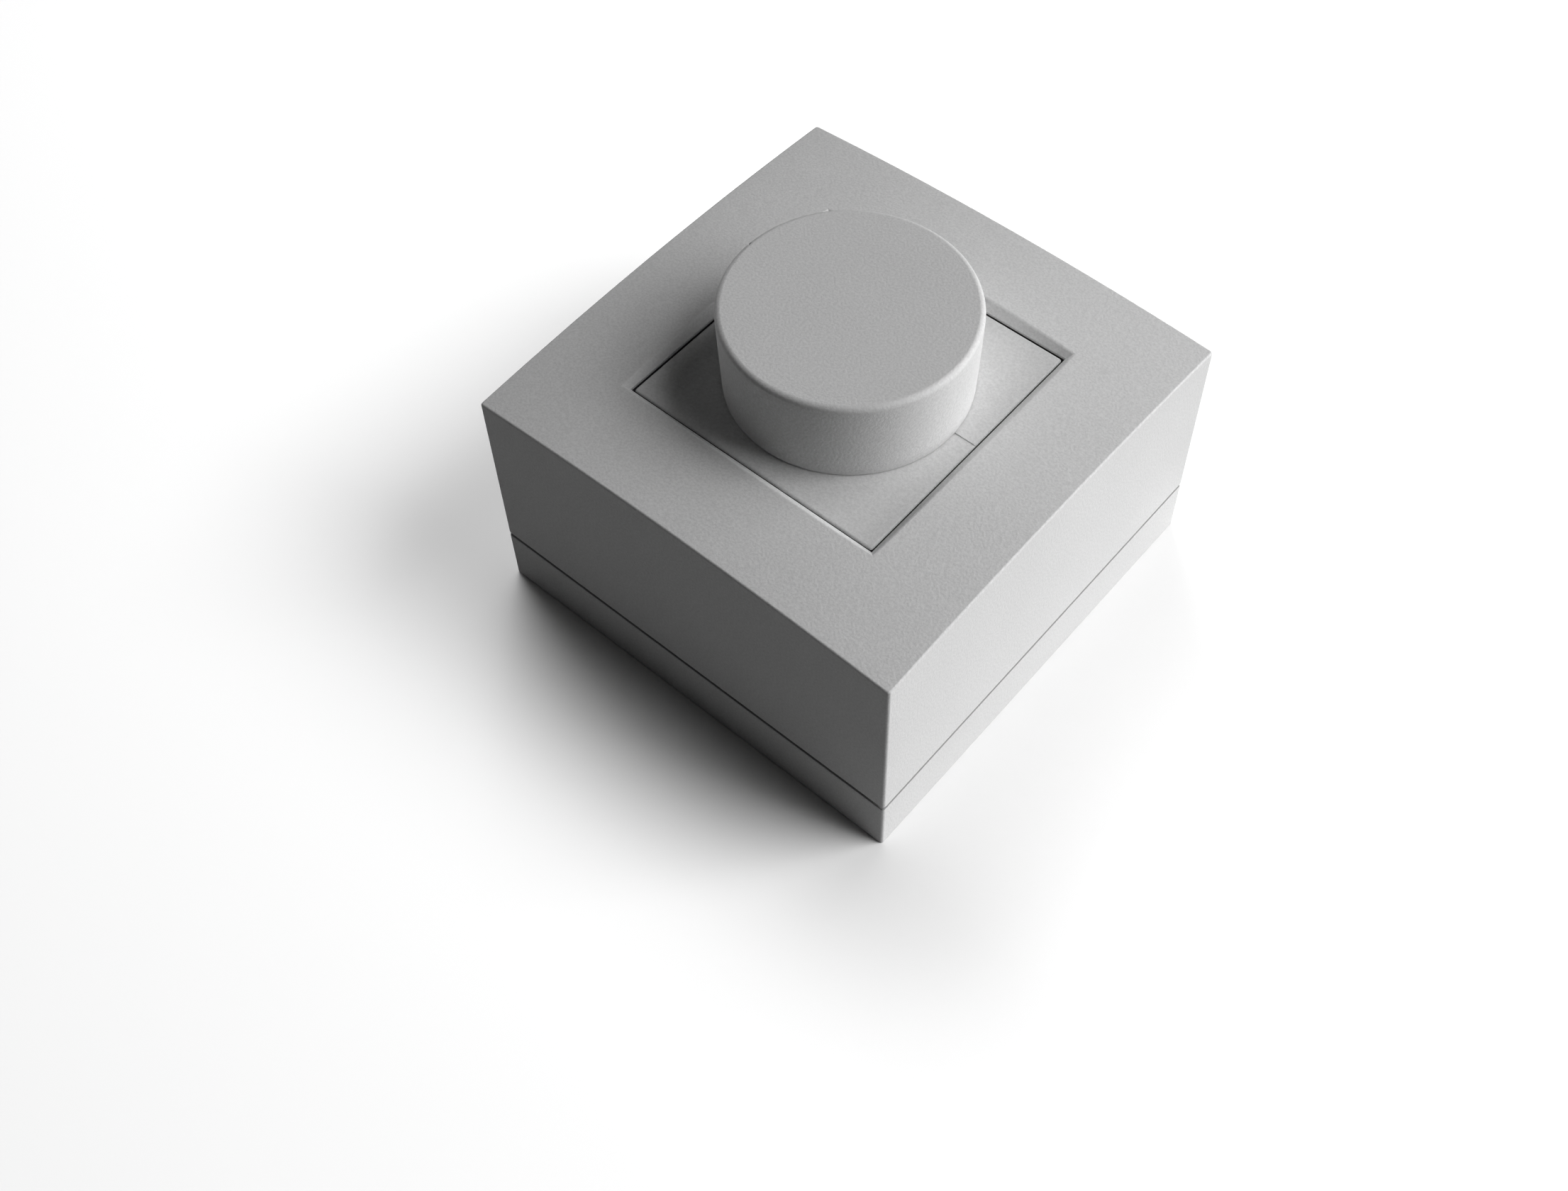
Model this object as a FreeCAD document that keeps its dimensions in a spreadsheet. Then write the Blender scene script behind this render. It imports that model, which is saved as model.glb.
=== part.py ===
"""Three-speed rotary control switch for a ventilation unit, surface mounted.

The origin is the middle of the box's back face. +Z is the knob's axis, away from the wall,
and -Y is the lower side once the box hangs on a wall. All sizes are in millimetres.
"""
import FreeCAD, Part
import os
import re
import Sketcher

VECTOR = FreeCAD.Vector
RULE = Sketcher.Constraint
ROOT = -1

SIZES = [
    # base and cover
    ("box_side", 80, "outside of base and cover"),
    ("corner_height", 45, "cover's corners above the wall"),
    ("edge_rise", 1.5, "lift of the dome between a corner and the middle of an edge"),
    ("cover_wall", 2, "wall of the cover"),
    ("edge_round", 0.5, "radius of the box's outer edges"),
    ("base_height", 10.9, "visible height of the base"),
    ("groove_height", 0.8, "height of the shadow groove"),
    ("groove_depth", 1, "depth of the shadow groove"),
    ("neck_round", 2, "corner radius of the neck and the upstand"),
    ("upstand_height", 8.3, "upstand inside the cover"),
    ("upstand_wall", 1.6, "wall of the upstand"),
    ("slip_gap", 0.2, "clearance between cover and upstand"),
    ("floor_thickness", 2.5, "floor of the base"),
    ("breakout_width", 14, "thinned panel for a surface cable"),
    ("breakout_web", 0.9, "skin left at a thinned panel"),
    ("breakout_lift", 1, "thinned panel above the floor"),
    ("breakout_drop", 2, "thinned panel below the face of the base"),
    ("pillar_inset", 5, "pillars from the bracket's edge"),
    ("pillar_diameter", 7, "pillars that carry the bracket"),
    ("gusset_thickness", 2, "rib from pillar to wall"),
    ("gusset_drop", 2, "ribs below the rim of the upstand"),
    ("pilot_over", 2, "pilot holes past the end of their screw"),
    ("wall_slot_span", 60, "distance of the wall screws"),
    ("wall_slot_width", 4.5, "slot for a wall screw"),
    ("wall_slot_length", 9, "length of that slot"),
    ("cable_entry_width", 28, "opening behind the switch"),
    ("cable_entry_height", 18, "opening behind the switch"),
    ("cable_entry_round", 4, "corner radius of that opening"),
    # window and centre plate
    ("plate_top", 45.8, "face of the centre plate above the wall"),
    ("plate_side", 46.6, "centre plate"),
    ("plate_gap", 0.35, "gap around the centre plate"),
    ("plate_edge", 2, "thickness of the plate on the ledge"),
    ("plate_round", 0.45, "radius of the plate's edges"),
    ("plate_corner", 0.6, "radius of the plate's corners"),
    ("bevel_lift", 0.1, "foot of the window's bevel above the plate"),
    ("bevel_run", 2.5, "reach of the bevel's cutter, sideways"),
    ("bevel_rise", 3, "reach of the bevel's cutter, upwards"),
    ("ledge_width", 1.5, "seat of the plate in the cover"),
    ("ledge_thickness", 1.5, "thickness of that seat"),
    ("collar_wall", 1.8, "collar around the window, inside"),
    ("well_diameter", 34.5, "round well for the nut, under the knob"),
    ("well_depth", 1.5, "round well for the nut"),
    ("well_floor", 1.5, "thickness under the well"),
    ("well_wall", 1.4, "wall around the well"),
    ("mark_width", 0.5, "index mark on the plate"),
    ("mark_place", 1, "index mark beside the plate's middle"),
    ("mark_depth", 0.3, "depth of the marks"),
    ("peg_diameter", 3, "pegs that stop the plate from turning"),
    ("peg_place", 12, "pegs from the middle, both ways"),
    ("peg_lift", 0.3, "end of the pegs above the lid"),
    ("loose_gap", 0.2, "clearance of pegs, screws and holes"),
    ("press_gap", 0.1, "clearance of pressed and screwed seats"),
    ("weld", 0.5, "overlap of features that join"),
    ("overcut", 1, "reach of a cut past the face that it opens"),
    # knob
    ("knob_diameter", 40, "knob at its rim"),
    ("knob_top", 61.6, "knob's face above the wall"),
    ("knob_gap", 0.15, "gap between knob and plate"),
    ("knob_draft", 0.5, "taper of the knob's side towards its foot"),
    ("knob_round", 1, "radius of the knob's rim"),
    ("knob_wall", 1.8, "wall of the knob"),
    ("knob_cap", 2.2, "face of the knob"),
    ("knob_mark_width", 0.6, "index groove on the knob's side"),
    ("hub_diameter", 10.5, "hub inside the knob"),
    ("hub_gap", 0.5, "hub above the bush"),
    ("rib_thickness", 1.2, "ribs inside the knob"),
    ("rib_depth", 6, "depth of those ribs"),
    ("rib_count", 6, "ribs inside the knob"),
    # spindle, rotor and detent
    ("spindle_diameter", 6, "spindle"),
    ("running_gap", 0.05, "radial clearance of the bearings"),
    ("spindle_top", 58, "end of the spindle above the wall"),
    ("flat_depth", 1.5, "flat on the spindle"),
    ("flat_length", 9, "length of that flat"),
    ("spindle_chamfer", 0.5, "chamfer on the spindle's end"),
    ("clip_thickness", 0.4, "spring strip in the hub"),
    ("clip_width", 3.6, "spring strip in the hub"),
    ("clip_length", 7.5, "spring strip in the hub"),
    ("clip_lift", 1, "strip above the foot of the flat"),
    ("clip_bend", 0.15, "bend of that strip"),
    ("pivot_diameter", 5, "lower journal of the rotor"),
    ("pivot_length", 4.8, "lower journal of the rotor"),
    ("carrier_diameter", 21, "contact carrier of the rotor"),
    ("carrier_height", 4, "contact carrier of the rotor"),
    ("carrier_lift", 1.5, "carrier above the partition"),
    ("star_diameter", 22, "tips of the star wheel"),
    ("star_height", 4, "star wheel"),
    ("step_angle", 45, "turn from one speed to the next, degrees"),
    ("collar_diameter", 9, "shoulder of the rotor"),
    ("collar_gap", 0.3, "end play under the bush"),
    ("lug_width", 4, "stop lug of the rotor"),
    ("lug_overlap", 1, "lug beyond the middle of the stop pins"),
    ("stop_diameter", 3, "stop pins of the housing"),
    ("stop_gap", 0.15, "lug to stop pin at the end of the turn"),
    ("stop_drop", 0.3, "stop pins below the carrier's top"),
    ("spring_offset", 12.6, "detent strip from the axis"),
    ("spring_thickness", 0.4, "detent strip"),
    ("spring_length", 24, "detent strip"),
    ("spring_height", 3, "detent strip"),
    ("nose_radius", 2.4, "nose of the detent strip"),
    ("nose_gap", 0.1, "nose in its notch"),
    # switch body
    ("bracket_top", 36.5, "steel bracket above the wall"),
    ("bracket_thickness", 1.2, "steel bracket"),
    ("bracket_gap", 3, "steel bracket to the cover's wall"),
    ("bracket_round", 4, "corner radius of the bracket"),
    ("lip_length", 44, "turned-down edges of the bracket"),
    ("lip_height", 3, "turned-down edges of the bracket"),
    ("bracket_slot_width", 3.8, "screw slots of the bracket"),
    ("bracket_slot_length", 7.6, "screw slots of the bracket"),
    ("lid_thickness", 2.5, "lid of the switch"),
    ("lid_boss_diameter", 16, "boss around the bush"),
    ("lid_boss_height", 4.2, "boss around the bush"),
    ("boss_gap", 0.5, "boss in the bracket"),
    ("bush_diameter", 10, "threaded bush"),
    ("bush_flange", 13, "flange of the bush"),
    ("bush_flange_thickness", 1.1, "flange of the bush"),
    ("bush_over_nut", 0.3, "bush above its nut"),
    ("bush_chamfer", 0.4, "chamfer on the bush"),
    ("washer_diameter", 15, "washer under the nut"),
    ("washer_thickness", 0.5, "washer under the nut"),
    ("nut_width", 13, "nut across its flats"),
    ("nut_thickness", 2, "nut"),
    ("housing_side", 44, "switch housing"),
    ("housing_round", 1.5, "corner radius of housing and lid"),
    ("housing_height", 20.8, "switch housing"),
    ("housing_wall", 1.8, "switch housing"),
    ("chamber_depth", 10.8, "chamber of the rotor"),
    ("partition_thickness", 1.5, "floor of that chamber"),
    ("hollow_width", 38, "hollow under the partition"),
    ("hollow_depth", 16, "hollow under the partition"),
    ("bearing_diameter", 9, "bearing boss under the partition"),
    ("bearing_height", 2, "bearing boss under the partition"),
    ("column_diameter", 6.4, "screw columns of the housing"),
    ("column_place", 18, "columns from the middle, both ways"),
    ("pilot_floor", 1, "left under the columns' pilot holes"),
    ("seat_width", 3, "seats of the detent strips"),
    ("seat_over", 0.2, "seats above the strip"),
    ("seat_end", 0.5, "seats past the ends of the strip"),
    # contacts and terminals
    ("contact_thickness", 0.8, "fixed contacts"),
    ("contact_width", 4, "fixed contacts"),
    ("contact_gap", 0.05, "wiper above the fixed contacts"),
    ("ring_inner", 10, "common contact ring"),
    ("ring_outer", 15, "common contact ring"),
    ("pad_diameter", 4, "contact pads"),
    ("contact_space", 0.4, "common ring to the pads"),
    ("wiper_thickness", 0.4, "wiper"),
    ("wiper_width", 3.4, "wiper"),
    ("wiper_hub", 9, "ring of the wiper around the pivot"),
    ("dimple_diameter", 1.6, "contact points of the wiper"),
    ("terminal_pitch", 13, "terminals side by side"),
    ("terminal_row", 16, "terminals from the middle"),
    ("clamp_side", 6.8, "clamp cage"),
    ("clamp_wall", 1.2, "clamp cage"),
    ("clamp_height", 6, "clamp cage"),
    ("clamp_lift", 1.5, "clamp cage above the housing's back"),
    ("tail_length", 8.3, "tails of the fixed contacts"),
    # screws
    ("bracket_screw_shank", 2.9, "screws in the pillars"),
    ("bracket_screw_head", 6.2, "screws in the pillars"),
    ("bracket_screw_length", 12, "screws in the pillars"),
    ("housing_screw_shank", 2.5, "screws in the housing"),
    ("housing_screw_head", 5, "screws in the housing"),
    ("housing_screw_length", 11.5, "screws in the housing"),
    ("terminal_screw_shank", 2.9, "clamp screws"),
    ("terminal_screw_head", 5, "clamp screws"),
    ("terminal_screw_length", 4.2, "clamp screws"),
    ("screw_head_height", 1.7, "all screw heads"),
    ("driver_slot", 0.8, "driver slots, width and depth"),
]

# levels above the wall and sizes that several pieces share
SHOULDER = "(base_height + groove_height)"
UPSTAND_TOP = "(base_height + groove_height + upstand_height)"
UPSTAND_SIDE = "(box_side - 2 * cover_wall - 2 * slip_gap)"
CAVITY_SIDE = "(box_side - 2 * cover_wall - 2 * slip_gap - 2 * upstand_wall)"
DOME_RADIUS = "(box_side ^ 2 / (8 * edge_rise))"
DOME_CENTRE = "(corner_height - sqrt(box_side ^ 4 / (64 * edge_rise ^ 2) - box_side ^ 2 / 2))"
THROAT_SIDE = "(plate_side + 2 * plate_gap)"
BRACKET_SIDE = "(box_side - 2 * cover_wall - 2 * bracket_gap)"
PILLAR_SPAN = "(" + BRACKET_SIDE + " - 2 * pillar_inset)"
LEDGE_TOP = "(plate_top - plate_edge)"
WELL_FLOOR = "(plate_top - well_depth)"
LID_TOP = "(bracket_top - bracket_thickness)"
LID_FOOT = "(bracket_top - bracket_thickness - lid_thickness)"
HOUSING_FOOT = "(bracket_top - bracket_thickness - lid_thickness - housing_height)"
PARTITION_TOP = "(bracket_top - bracket_thickness - lid_thickness - chamber_depth)"
PARTITION_FOOT = "(" + PARTITION_TOP + " - partition_thickness)"
NUT_TOP = "(" + WELL_FLOOR + " + washer_thickness + nut_thickness)"
BUSH_TOP = "(" + NUT_TOP + " + bush_over_nut)"
BUSH_FOOT = "(" + LID_FOOT + " + press_gap)"
SPINDLE_BORE = "(spindle_diameter + 2 * running_gap)"
HUB_FOOT = "(" + BUSH_TOP + " + hub_gap)"
KNOB_FOOT = "(plate_top + knob_gap)"
FOOT_RADIUS = "(knob_diameter / 2 - knob_draft)"
KNOB_CEILING = "(knob_top - knob_cap)"
FLAT_PLACE = "(spindle_diameter / 2 - flat_depth)"
FLAT_FOOT = "(spindle_top - flat_length)"
CARRIER_FOOT = "(" + PARTITION_TOP + " + carrier_lift)"
CARRIER_TOP = "(" + CARRIER_FOOT + " + carrier_height)"
STAR_TOP = "(" + CARRIER_TOP + " + star_height)"
SPRING_FOOT = "(" + CARRIER_TOP + " + (star_height - spring_height) / 2)"
NOTCH_RADIUS = "(nose_radius + nose_gap)"
STOP_RADIUS = "(carrier_diameter / 2 + loose_gap + stop_diameter / 2)"
STOP_TURN = "asin((lug_width / 2 + stop_diameter / 2 + stop_gap) / " + STOP_RADIUS + ")"
STOP_ANGLE = "(step_angle * 1 deg + " + STOP_TURN + ")"
LUG_REACH = "(" + STOP_RADIUS + " + lug_overlap)"
PAD_RADIUS = "(ring_outer / 2 + contact_space + pad_diameter / 2)"
CLAMP_FOOT = "(" + HOUSING_FOOT + " + clamp_lift)"
CLAMP_POCKET = "(clamp_side + 2 * loose_gap)"
TAIL_PLACE = "(terminal_row - clamp_side / 2 + clamp_wall + loose_gap + contact_thickness / 2)"

NAMES = {name for name, _, _ in SIZES}
doc = FreeCAD.newDocument("ventilation_switch")
sheet = doc.addObject("Spreadsheet::Sheet", "sizes")
cuts = []


def fill_sheet():
    """Write every driving size to the sheet, with its alias and its note."""
    for row, (name, value, note) in enumerate(SIZES, start=1):
        sheet.set(f"A{row}", name)
        sheet.set(f"B{row}", str(value))
        sheet.set(f"C{row}", note)
        sheet.setAlias(f"B{row}", name)
    doc.recompute()


def linked(expression):
    """Turn plain size names into references to the sheet's cells."""
    return re.sub(r"[a-z_]+", lambda word: "sizes." + word[0] if word[0] in NAMES else word[0], expression)


def number(expression):
    """Present value of an expression on the sheet."""
    return float(sheet.evalExpression(linked(expression)))


def bind(item, prop, expression):
    item.setExpression(prop, linked(expression))


# sketches


def origin_item(body, role):
    return [item for item in body.Origin.OriginFeatures if item.Role == role][0]


def sketch_on(body, name, level="0", x="0", y="0", plane="XY_Plane"):
    """Empty sketch on one of the body's own planes, moved along it by x and y and off it by level."""
    sketch = body.newObject("Sketcher::SketchObject", name)
    sketch.AttachmentSupport = [(origin_item(body, plane), "")]
    sketch.MapMode = "FlatFace"
    bind(sketch, "AttachmentOffset.Base.x", x)
    bind(sketch, "AttachmentOffset.Base.y", y)
    bind(sketch, "AttachmentOffset.Base.z", level)
    return sketch


def rule(sketch, kind, *parts):
    """Constraint without a value."""
    return sketch.addConstraint(RULE(kind, *parts))


def measure(sketch, kind, parts, expression):
    """Constraint with a value that follows the sheet."""
    index = sketch.addConstraint(RULE(kind, *parts, number(expression)))
    name = f"size{index}"
    sketch.renameConstraint(index, name)
    bind(sketch, "Constraints." + name, expression)


def line(sketch, x1, y1, x2, y2):
    return sketch.addGeometry(Part.LineSegment(VECTOR(x1, y1, 0), VECTOR(x2, y2, 0)), False)


def arc(sketch, x, y, radius, start, end):
    """Arc from start to end, in degrees, anticlockwise."""
    circle = Part.Circle(VECTOR(x, y, 0), VECTOR(0, 0, 1), radius)
    turn = FreeCAD.Units.Quantity("1 deg").getValueAs("rad").Value
    return sketch.addGeometry(Part.ArcOfCircle(circle, start * turn, end * turn), False)


def draw_circle(sketch, diameter, x="0", y="0"):
    centre = VECTOR(number(x), number(y), 0)
    index = sketch.addGeometry(Part.Circle(centre, VECTOR(0, 0, 1), number(diameter) / 2), False)
    measure(sketch, "DistanceX", (ROOT, 1, index, 3), x)
    measure(sketch, "DistanceY", (ROOT, 1, index, 3), y)
    measure(sketch, "Diameter", (index,), diameter)
    return sketch


def draw_rectangle(sketch, width, height):
    """Rectangle centred on the sketch's origin."""
    half_w, half_h = number(width) / 2, number(height) / 2
    foot = line(sketch, -half_w, -half_h, half_w, -half_h)
    right = line(sketch, half_w, -half_h, half_w, half_h)
    head = line(sketch, half_w, half_h, -half_w, half_h)
    left = line(sketch, -half_w, half_h, -half_w, -half_h)
    for first, second in ((foot, right), (right, head), (head, left), (left, foot)):
        rule(sketch, "Coincident", first, 2, second, 1)
    for flat in (foot, head):
        rule(sketch, "Horizontal", flat)
    for upright in (right, left):
        rule(sketch, "Vertical", upright)
    rule(sketch, "Symmetric", foot, 1, right, 2, ROOT, 1)
    measure(sketch, "DistanceX", (foot, 1, foot, 2), width)
    measure(sketch, "DistanceY", (right, 1, right, 2), height)
    return sketch


def draw_rounded(sketch, width, height, radius):
    """Rectangle with round corners, centred on the sketch's origin."""
    half_w, half_h, r = number(width) / 2, number(height) / 2, number(radius)
    sides, x, y = [], half_w - r, half_h - r
    sides.append(line(sketch, -x, -half_h, x, -half_h))
    sides.append(arc(sketch, x, -y, r, -90, 0))
    sides.append(line(sketch, half_w, -y, half_w, y))
    sides.append(arc(sketch, x, y, r, 0, 90))
    sides.append(line(sketch, x, half_h, -x, half_h))
    sides.append(arc(sketch, -x, y, r, 90, 180))
    sides.append(line(sketch, -half_w, y, -half_w, -y))
    sides.append(arc(sketch, -x, -y, r, 180, 270))
    for place, side in enumerate(sides):
        rule(sketch, "Tangent", side, 2, sides[(place + 1) % 8], 1)
    for flat in (sides[0], sides[4]):
        rule(sketch, "Horizontal", flat)
    for upright in (sides[2], sides[6]):
        rule(sketch, "Vertical", upright)
    for corner in (sides[3], sides[5], sides[7]):
        rule(sketch, "Equal", sides[1], corner)
    measure(sketch, "Radius", (sides[1],), radius)
    measure(sketch, "DistanceX", (sides[6], 1, sides[2], 1), width)
    measure(sketch, "DistanceY", (sides[0], 1, sides[4], 1), height)
    rule(sketch, "Symmetric", sides[1], 3, sides[5], 3, ROOT, 1)
    return sketch


def draw_slot(sketch, length, width):
    """Slot along the sketch's Y, centred on its origin."""
    r = number(width) / 2
    reach = (number(length) - number(width)) / 2
    right = line(sketch, r, -reach, r, reach)
    head = arc(sketch, 0, reach, r, 0, 180)
    left = line(sketch, -r, reach, -r, -reach)
    foot = arc(sketch, 0, -reach, r, 180, 360)
    loop = (right, head, left, foot)
    for place, side in enumerate(loop):
        rule(sketch, "Tangent", side, 2, loop[(place + 1) % 4], 1)
    rule(sketch, "Vertical", right)
    rule(sketch, "Vertical", left)
    measure(sketch, "Radius", (head,), width + " / 2")
    measure(sketch, "DistanceY", (foot, 3, head, 3), length + " - " + width)
    rule(sketch, "Symmetric", foot, 3, head, 3, ROOT, 1)
    return sketch


def draw_outline(sketch, corners):
    """Closed outline of straight sides, each corner placed by two expressions."""
    places = [(number(x), number(y)) for x, y in corners]
    sides = []
    for index, place in enumerate(places):
        after = places[(index + 1) % len(places)]
        sides.append(line(sketch, *place, *after))
    for index, side in enumerate(sides):
        rule(sketch, "Coincident", side, 2, sides[(index + 1) % len(sides)], 1)
    for side, (x, y) in zip(sides, corners):
        measure(sketch, "DistanceX", (ROOT, 1, side, 1), x)
        measure(sketch, "DistanceY", (ROOT, 1, side, 1), y)
    return sketch


def draw_flatted(sketch, diameter, chord):
    """Circle with a flat at height chord above the centre."""
    r, height = number(diameter) / 2, number(chord)
    half = (r * r - height * height) ** 0.5
    angle = VECTOR(half, height, 0).getAngle(VECTOR(1, 0, 0))
    degrees = FreeCAD.Units.Quantity(f"{angle} rad").getValueAs("deg").Value
    round_part = arc(sketch, 0, 0, r, 180 - degrees, 360 + degrees)
    flat = line(sketch, half, height, -half, height)
    rule(sketch, "Coincident", round_part, 2, flat, 1)
    rule(sketch, "Coincident", flat, 2, round_part, 1)
    rule(sketch, "Coincident", round_part, 3, ROOT, 1)
    rule(sketch, "Horizontal", flat)
    measure(sketch, "Diameter", (round_part,), diameter)
    measure(sketch, "DistanceY", (ROOT, 1, flat, 1), chord)
    return sketch


# features


def new_body(label):
    body = doc.addObject("PartDesign::Body", label)
    body.Label = label
    return body


def pad(body, sketch, length, down=False):
    feature = body.newObject("PartDesign::Pad", sketch.Name + "_pad")
    feature.Profile = sketch
    feature.Reversed = down
    bind(feature, "Length", length)
    body.Tip = feature
    return feature


def pocket(body, sketch, depth, up=False):
    """Cut against the sketch's normal, or along it where up is set."""
    feature = body.newObject("PartDesign::Pocket", sketch.Name + "_cut")
    feature.Profile = sketch
    feature.Reversed = up
    bind(feature, "Length", depth)
    body.Tip = feature
    cuts.append(feature)
    return feature


def turn(body, sketch, axis="V_Axis"):
    """Solid of revolution about one of the sketch's own axes."""
    feature = body.newObject("PartDesign::Revolution", sketch.Name + "_turned")
    feature.Profile = sketch
    feature.ReferenceAxis = (sketch, [axis])
    feature.Angle = 360
    body.Tip = feature
    return feature


def turned_body(label, corners):
    """Body turned about Z from an outline of radius and height."""
    body = new_body(label)
    profile = draw_outline(sketch_on(body, label + "_profile", plane="XZ_Plane"), corners)
    turn(body, profile)
    return body


def around(body, features, count):
    """Copies of features about Z, evenly over a full turn."""
    pattern = body.newObject("PartDesign::PolarPattern", features[0].Name + "_around")
    pattern.Originals = features
    pattern.Axis = (origin_item(body, "Z_Axis"), [""])
    pattern.Angle = 360
    if isinstance(count, str):
        bind(pattern, "Occurrences", count)
    else:
        pattern.Occurrences = count
    body.Tip = pattern
    return pattern


def mirrored(body, features, plane):
    copy = body.newObject("PartDesign::Mirrored", features[0].Name + "_mirrored")
    copy.Originals = features
    copy.MirrorPlane = (origin_item(body, plane), [""])
    body.Tip = copy
    return copy


def edges_where(feature, wanted):
    """Names of a feature's edges whose every end point passes a test."""
    doc.recompute()
    names = []
    for index, edge in enumerate(feature.Shape.Edges, start=1):
        if all(wanted(vertex.Point) for vertex in edge.Vertexes):
            names.append(f"Edge{index}")
    return names


def round_edges(body, feature, wanted, radius):
    """Fillet on the edges that pass a test."""
    fillet = body.newObject("PartDesign::Fillet", body.Name + "_round")
    fillet.Base = (feature, edges_where(feature, wanted))
    bind(fillet, "Radius", radius)
    body.Tip = fillet
    return fillet


def near(value, target):
    return abs(value - target) < 0.01


# base


def make_base():
    body = new_body("base")
    flange = draw_rounded(sketch_on(body, "flange"), "box_side", "box_side", "edge_round")
    pad(body, flange, "base_height")
    neck_side = "(box_side - 2 * groove_depth)"
    neck = draw_rounded(sketch_on(body, "neck", "base_height"), neck_side, neck_side, "neck_round")
    pad(body, neck, "groove_height")
    upstand = sketch_on(body, "upstand", SHOULDER)
    pad(body, draw_rounded(upstand, UPSTAND_SIDE, UPSTAND_SIDE, "neck_round"), "upstand_height")
    cavity = sketch_on(body, "cavity", UPSTAND_TOP)
    draw_rounded(cavity, CAVITY_SIDE, CAVITY_SIDE, "neck_round")
    pocket(body, cavity, UPSTAND_TOP + " - floor_thickness")
    add_pillars(body)
    cut_base_openings(body)
    last = add_breakouts(body)
    foot_and_rim = (0.0, number("base_height"))
    side = number("box_side") / 2

    def outer_rim(point):
        at_level = any(near(point.z, level) for level in foot_and_rim)
        return at_level and max(abs(point.x), abs(point.y)) > side - number("edge_round") - 0.01

    round_edges(body, last, outer_rim, "edge_round / 2")
    return body


def add_pillars(body):
    """Two pillars for the bracket, each tied to the side wall by a gusset."""
    pillar = sketch_on(body, "pillar", "floor_thickness", x=PILLAR_SPAN + " / 2")
    column = pad(body, draw_circle(pillar, "pillar_diameter"), LID_TOP + " - floor_thickness")
    reach = "(" + CAVITY_SIDE + " / 2 - " + PILLAR_SPAN + " / 2 + upstand_wall / 2)"
    gusset = sketch_on(body, "gusset", "floor_thickness", x=PILLAR_SPAN + " / 2 + " + reach + " / 2")
    draw_rectangle(gusset, reach, "gusset_thickness")
    rib = pad(body, gusset, UPSTAND_TOP + " - floor_thickness - gusset_drop")
    pilot = sketch_on(body, "pillar_pilot", LID_TOP, x=PILLAR_SPAN + " / 2")
    draw_circle(pilot, "bracket_screw_shank + press_gap")
    hole = pocket(body, pilot, "bracket_screw_length + pilot_over")
    return mirrored(body, [column, rib, hole], "YZ_Plane")


def cut_base_openings(body):
    """Wall-screw slots and the cable entry, all through the floor."""
    slot = sketch_on(body, "wall_slot", "floor_thickness", y="wall_slot_span / 2")
    draw_slot(slot, "wall_slot_length", "wall_slot_width")
    mirrored(body, [pocket(body, slot, "floor_thickness")], "XZ_Plane")
    entry = sketch_on(body, "cable_entry", "floor_thickness")
    draw_rounded(entry, "cable_entry_width", "cable_entry_height", "cable_entry_round")
    pocket(body, entry, "floor_thickness")


def add_breakouts(body):
    """Panels thinned from inside, in the upper and lower wall, for a surface cable."""
    height = "(base_height - floor_thickness - breakout_lift - breakout_drop)"
    middle = "floor_thickness + breakout_lift + " + height + " / 2"
    inside = "-" + CAVITY_SIDE + " / 2 + overcut"
    panel = sketch_on(body, "breakout", inside, y=middle, plane="XZ_Plane")
    draw_rectangle(panel, "breakout_width", height)
    recess = pocket(body, panel, "(box_side - " + CAVITY_SIDE + ") / 2 - breakout_web + overcut")
    return mirrored(body, [recess], "XZ_Plane")


# cover


def make_cover():
    body = new_body("cover_frame")
    add_domed_block(body, "cover_block", "box_side", "0")
    core = new_body("cover_core")
    add_domed_block(core, "core_block", "(box_side - 2 * cover_wall)", "cover_wall")
    shell = body.newObject("PartDesign::Boolean", "cover_shell")
    shell.Type = "Cut"
    shell.setObjects([core])
    body.Tip = shell
    bevel = cut_window(body)
    round_cover(body, bevel)
    return body


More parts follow.
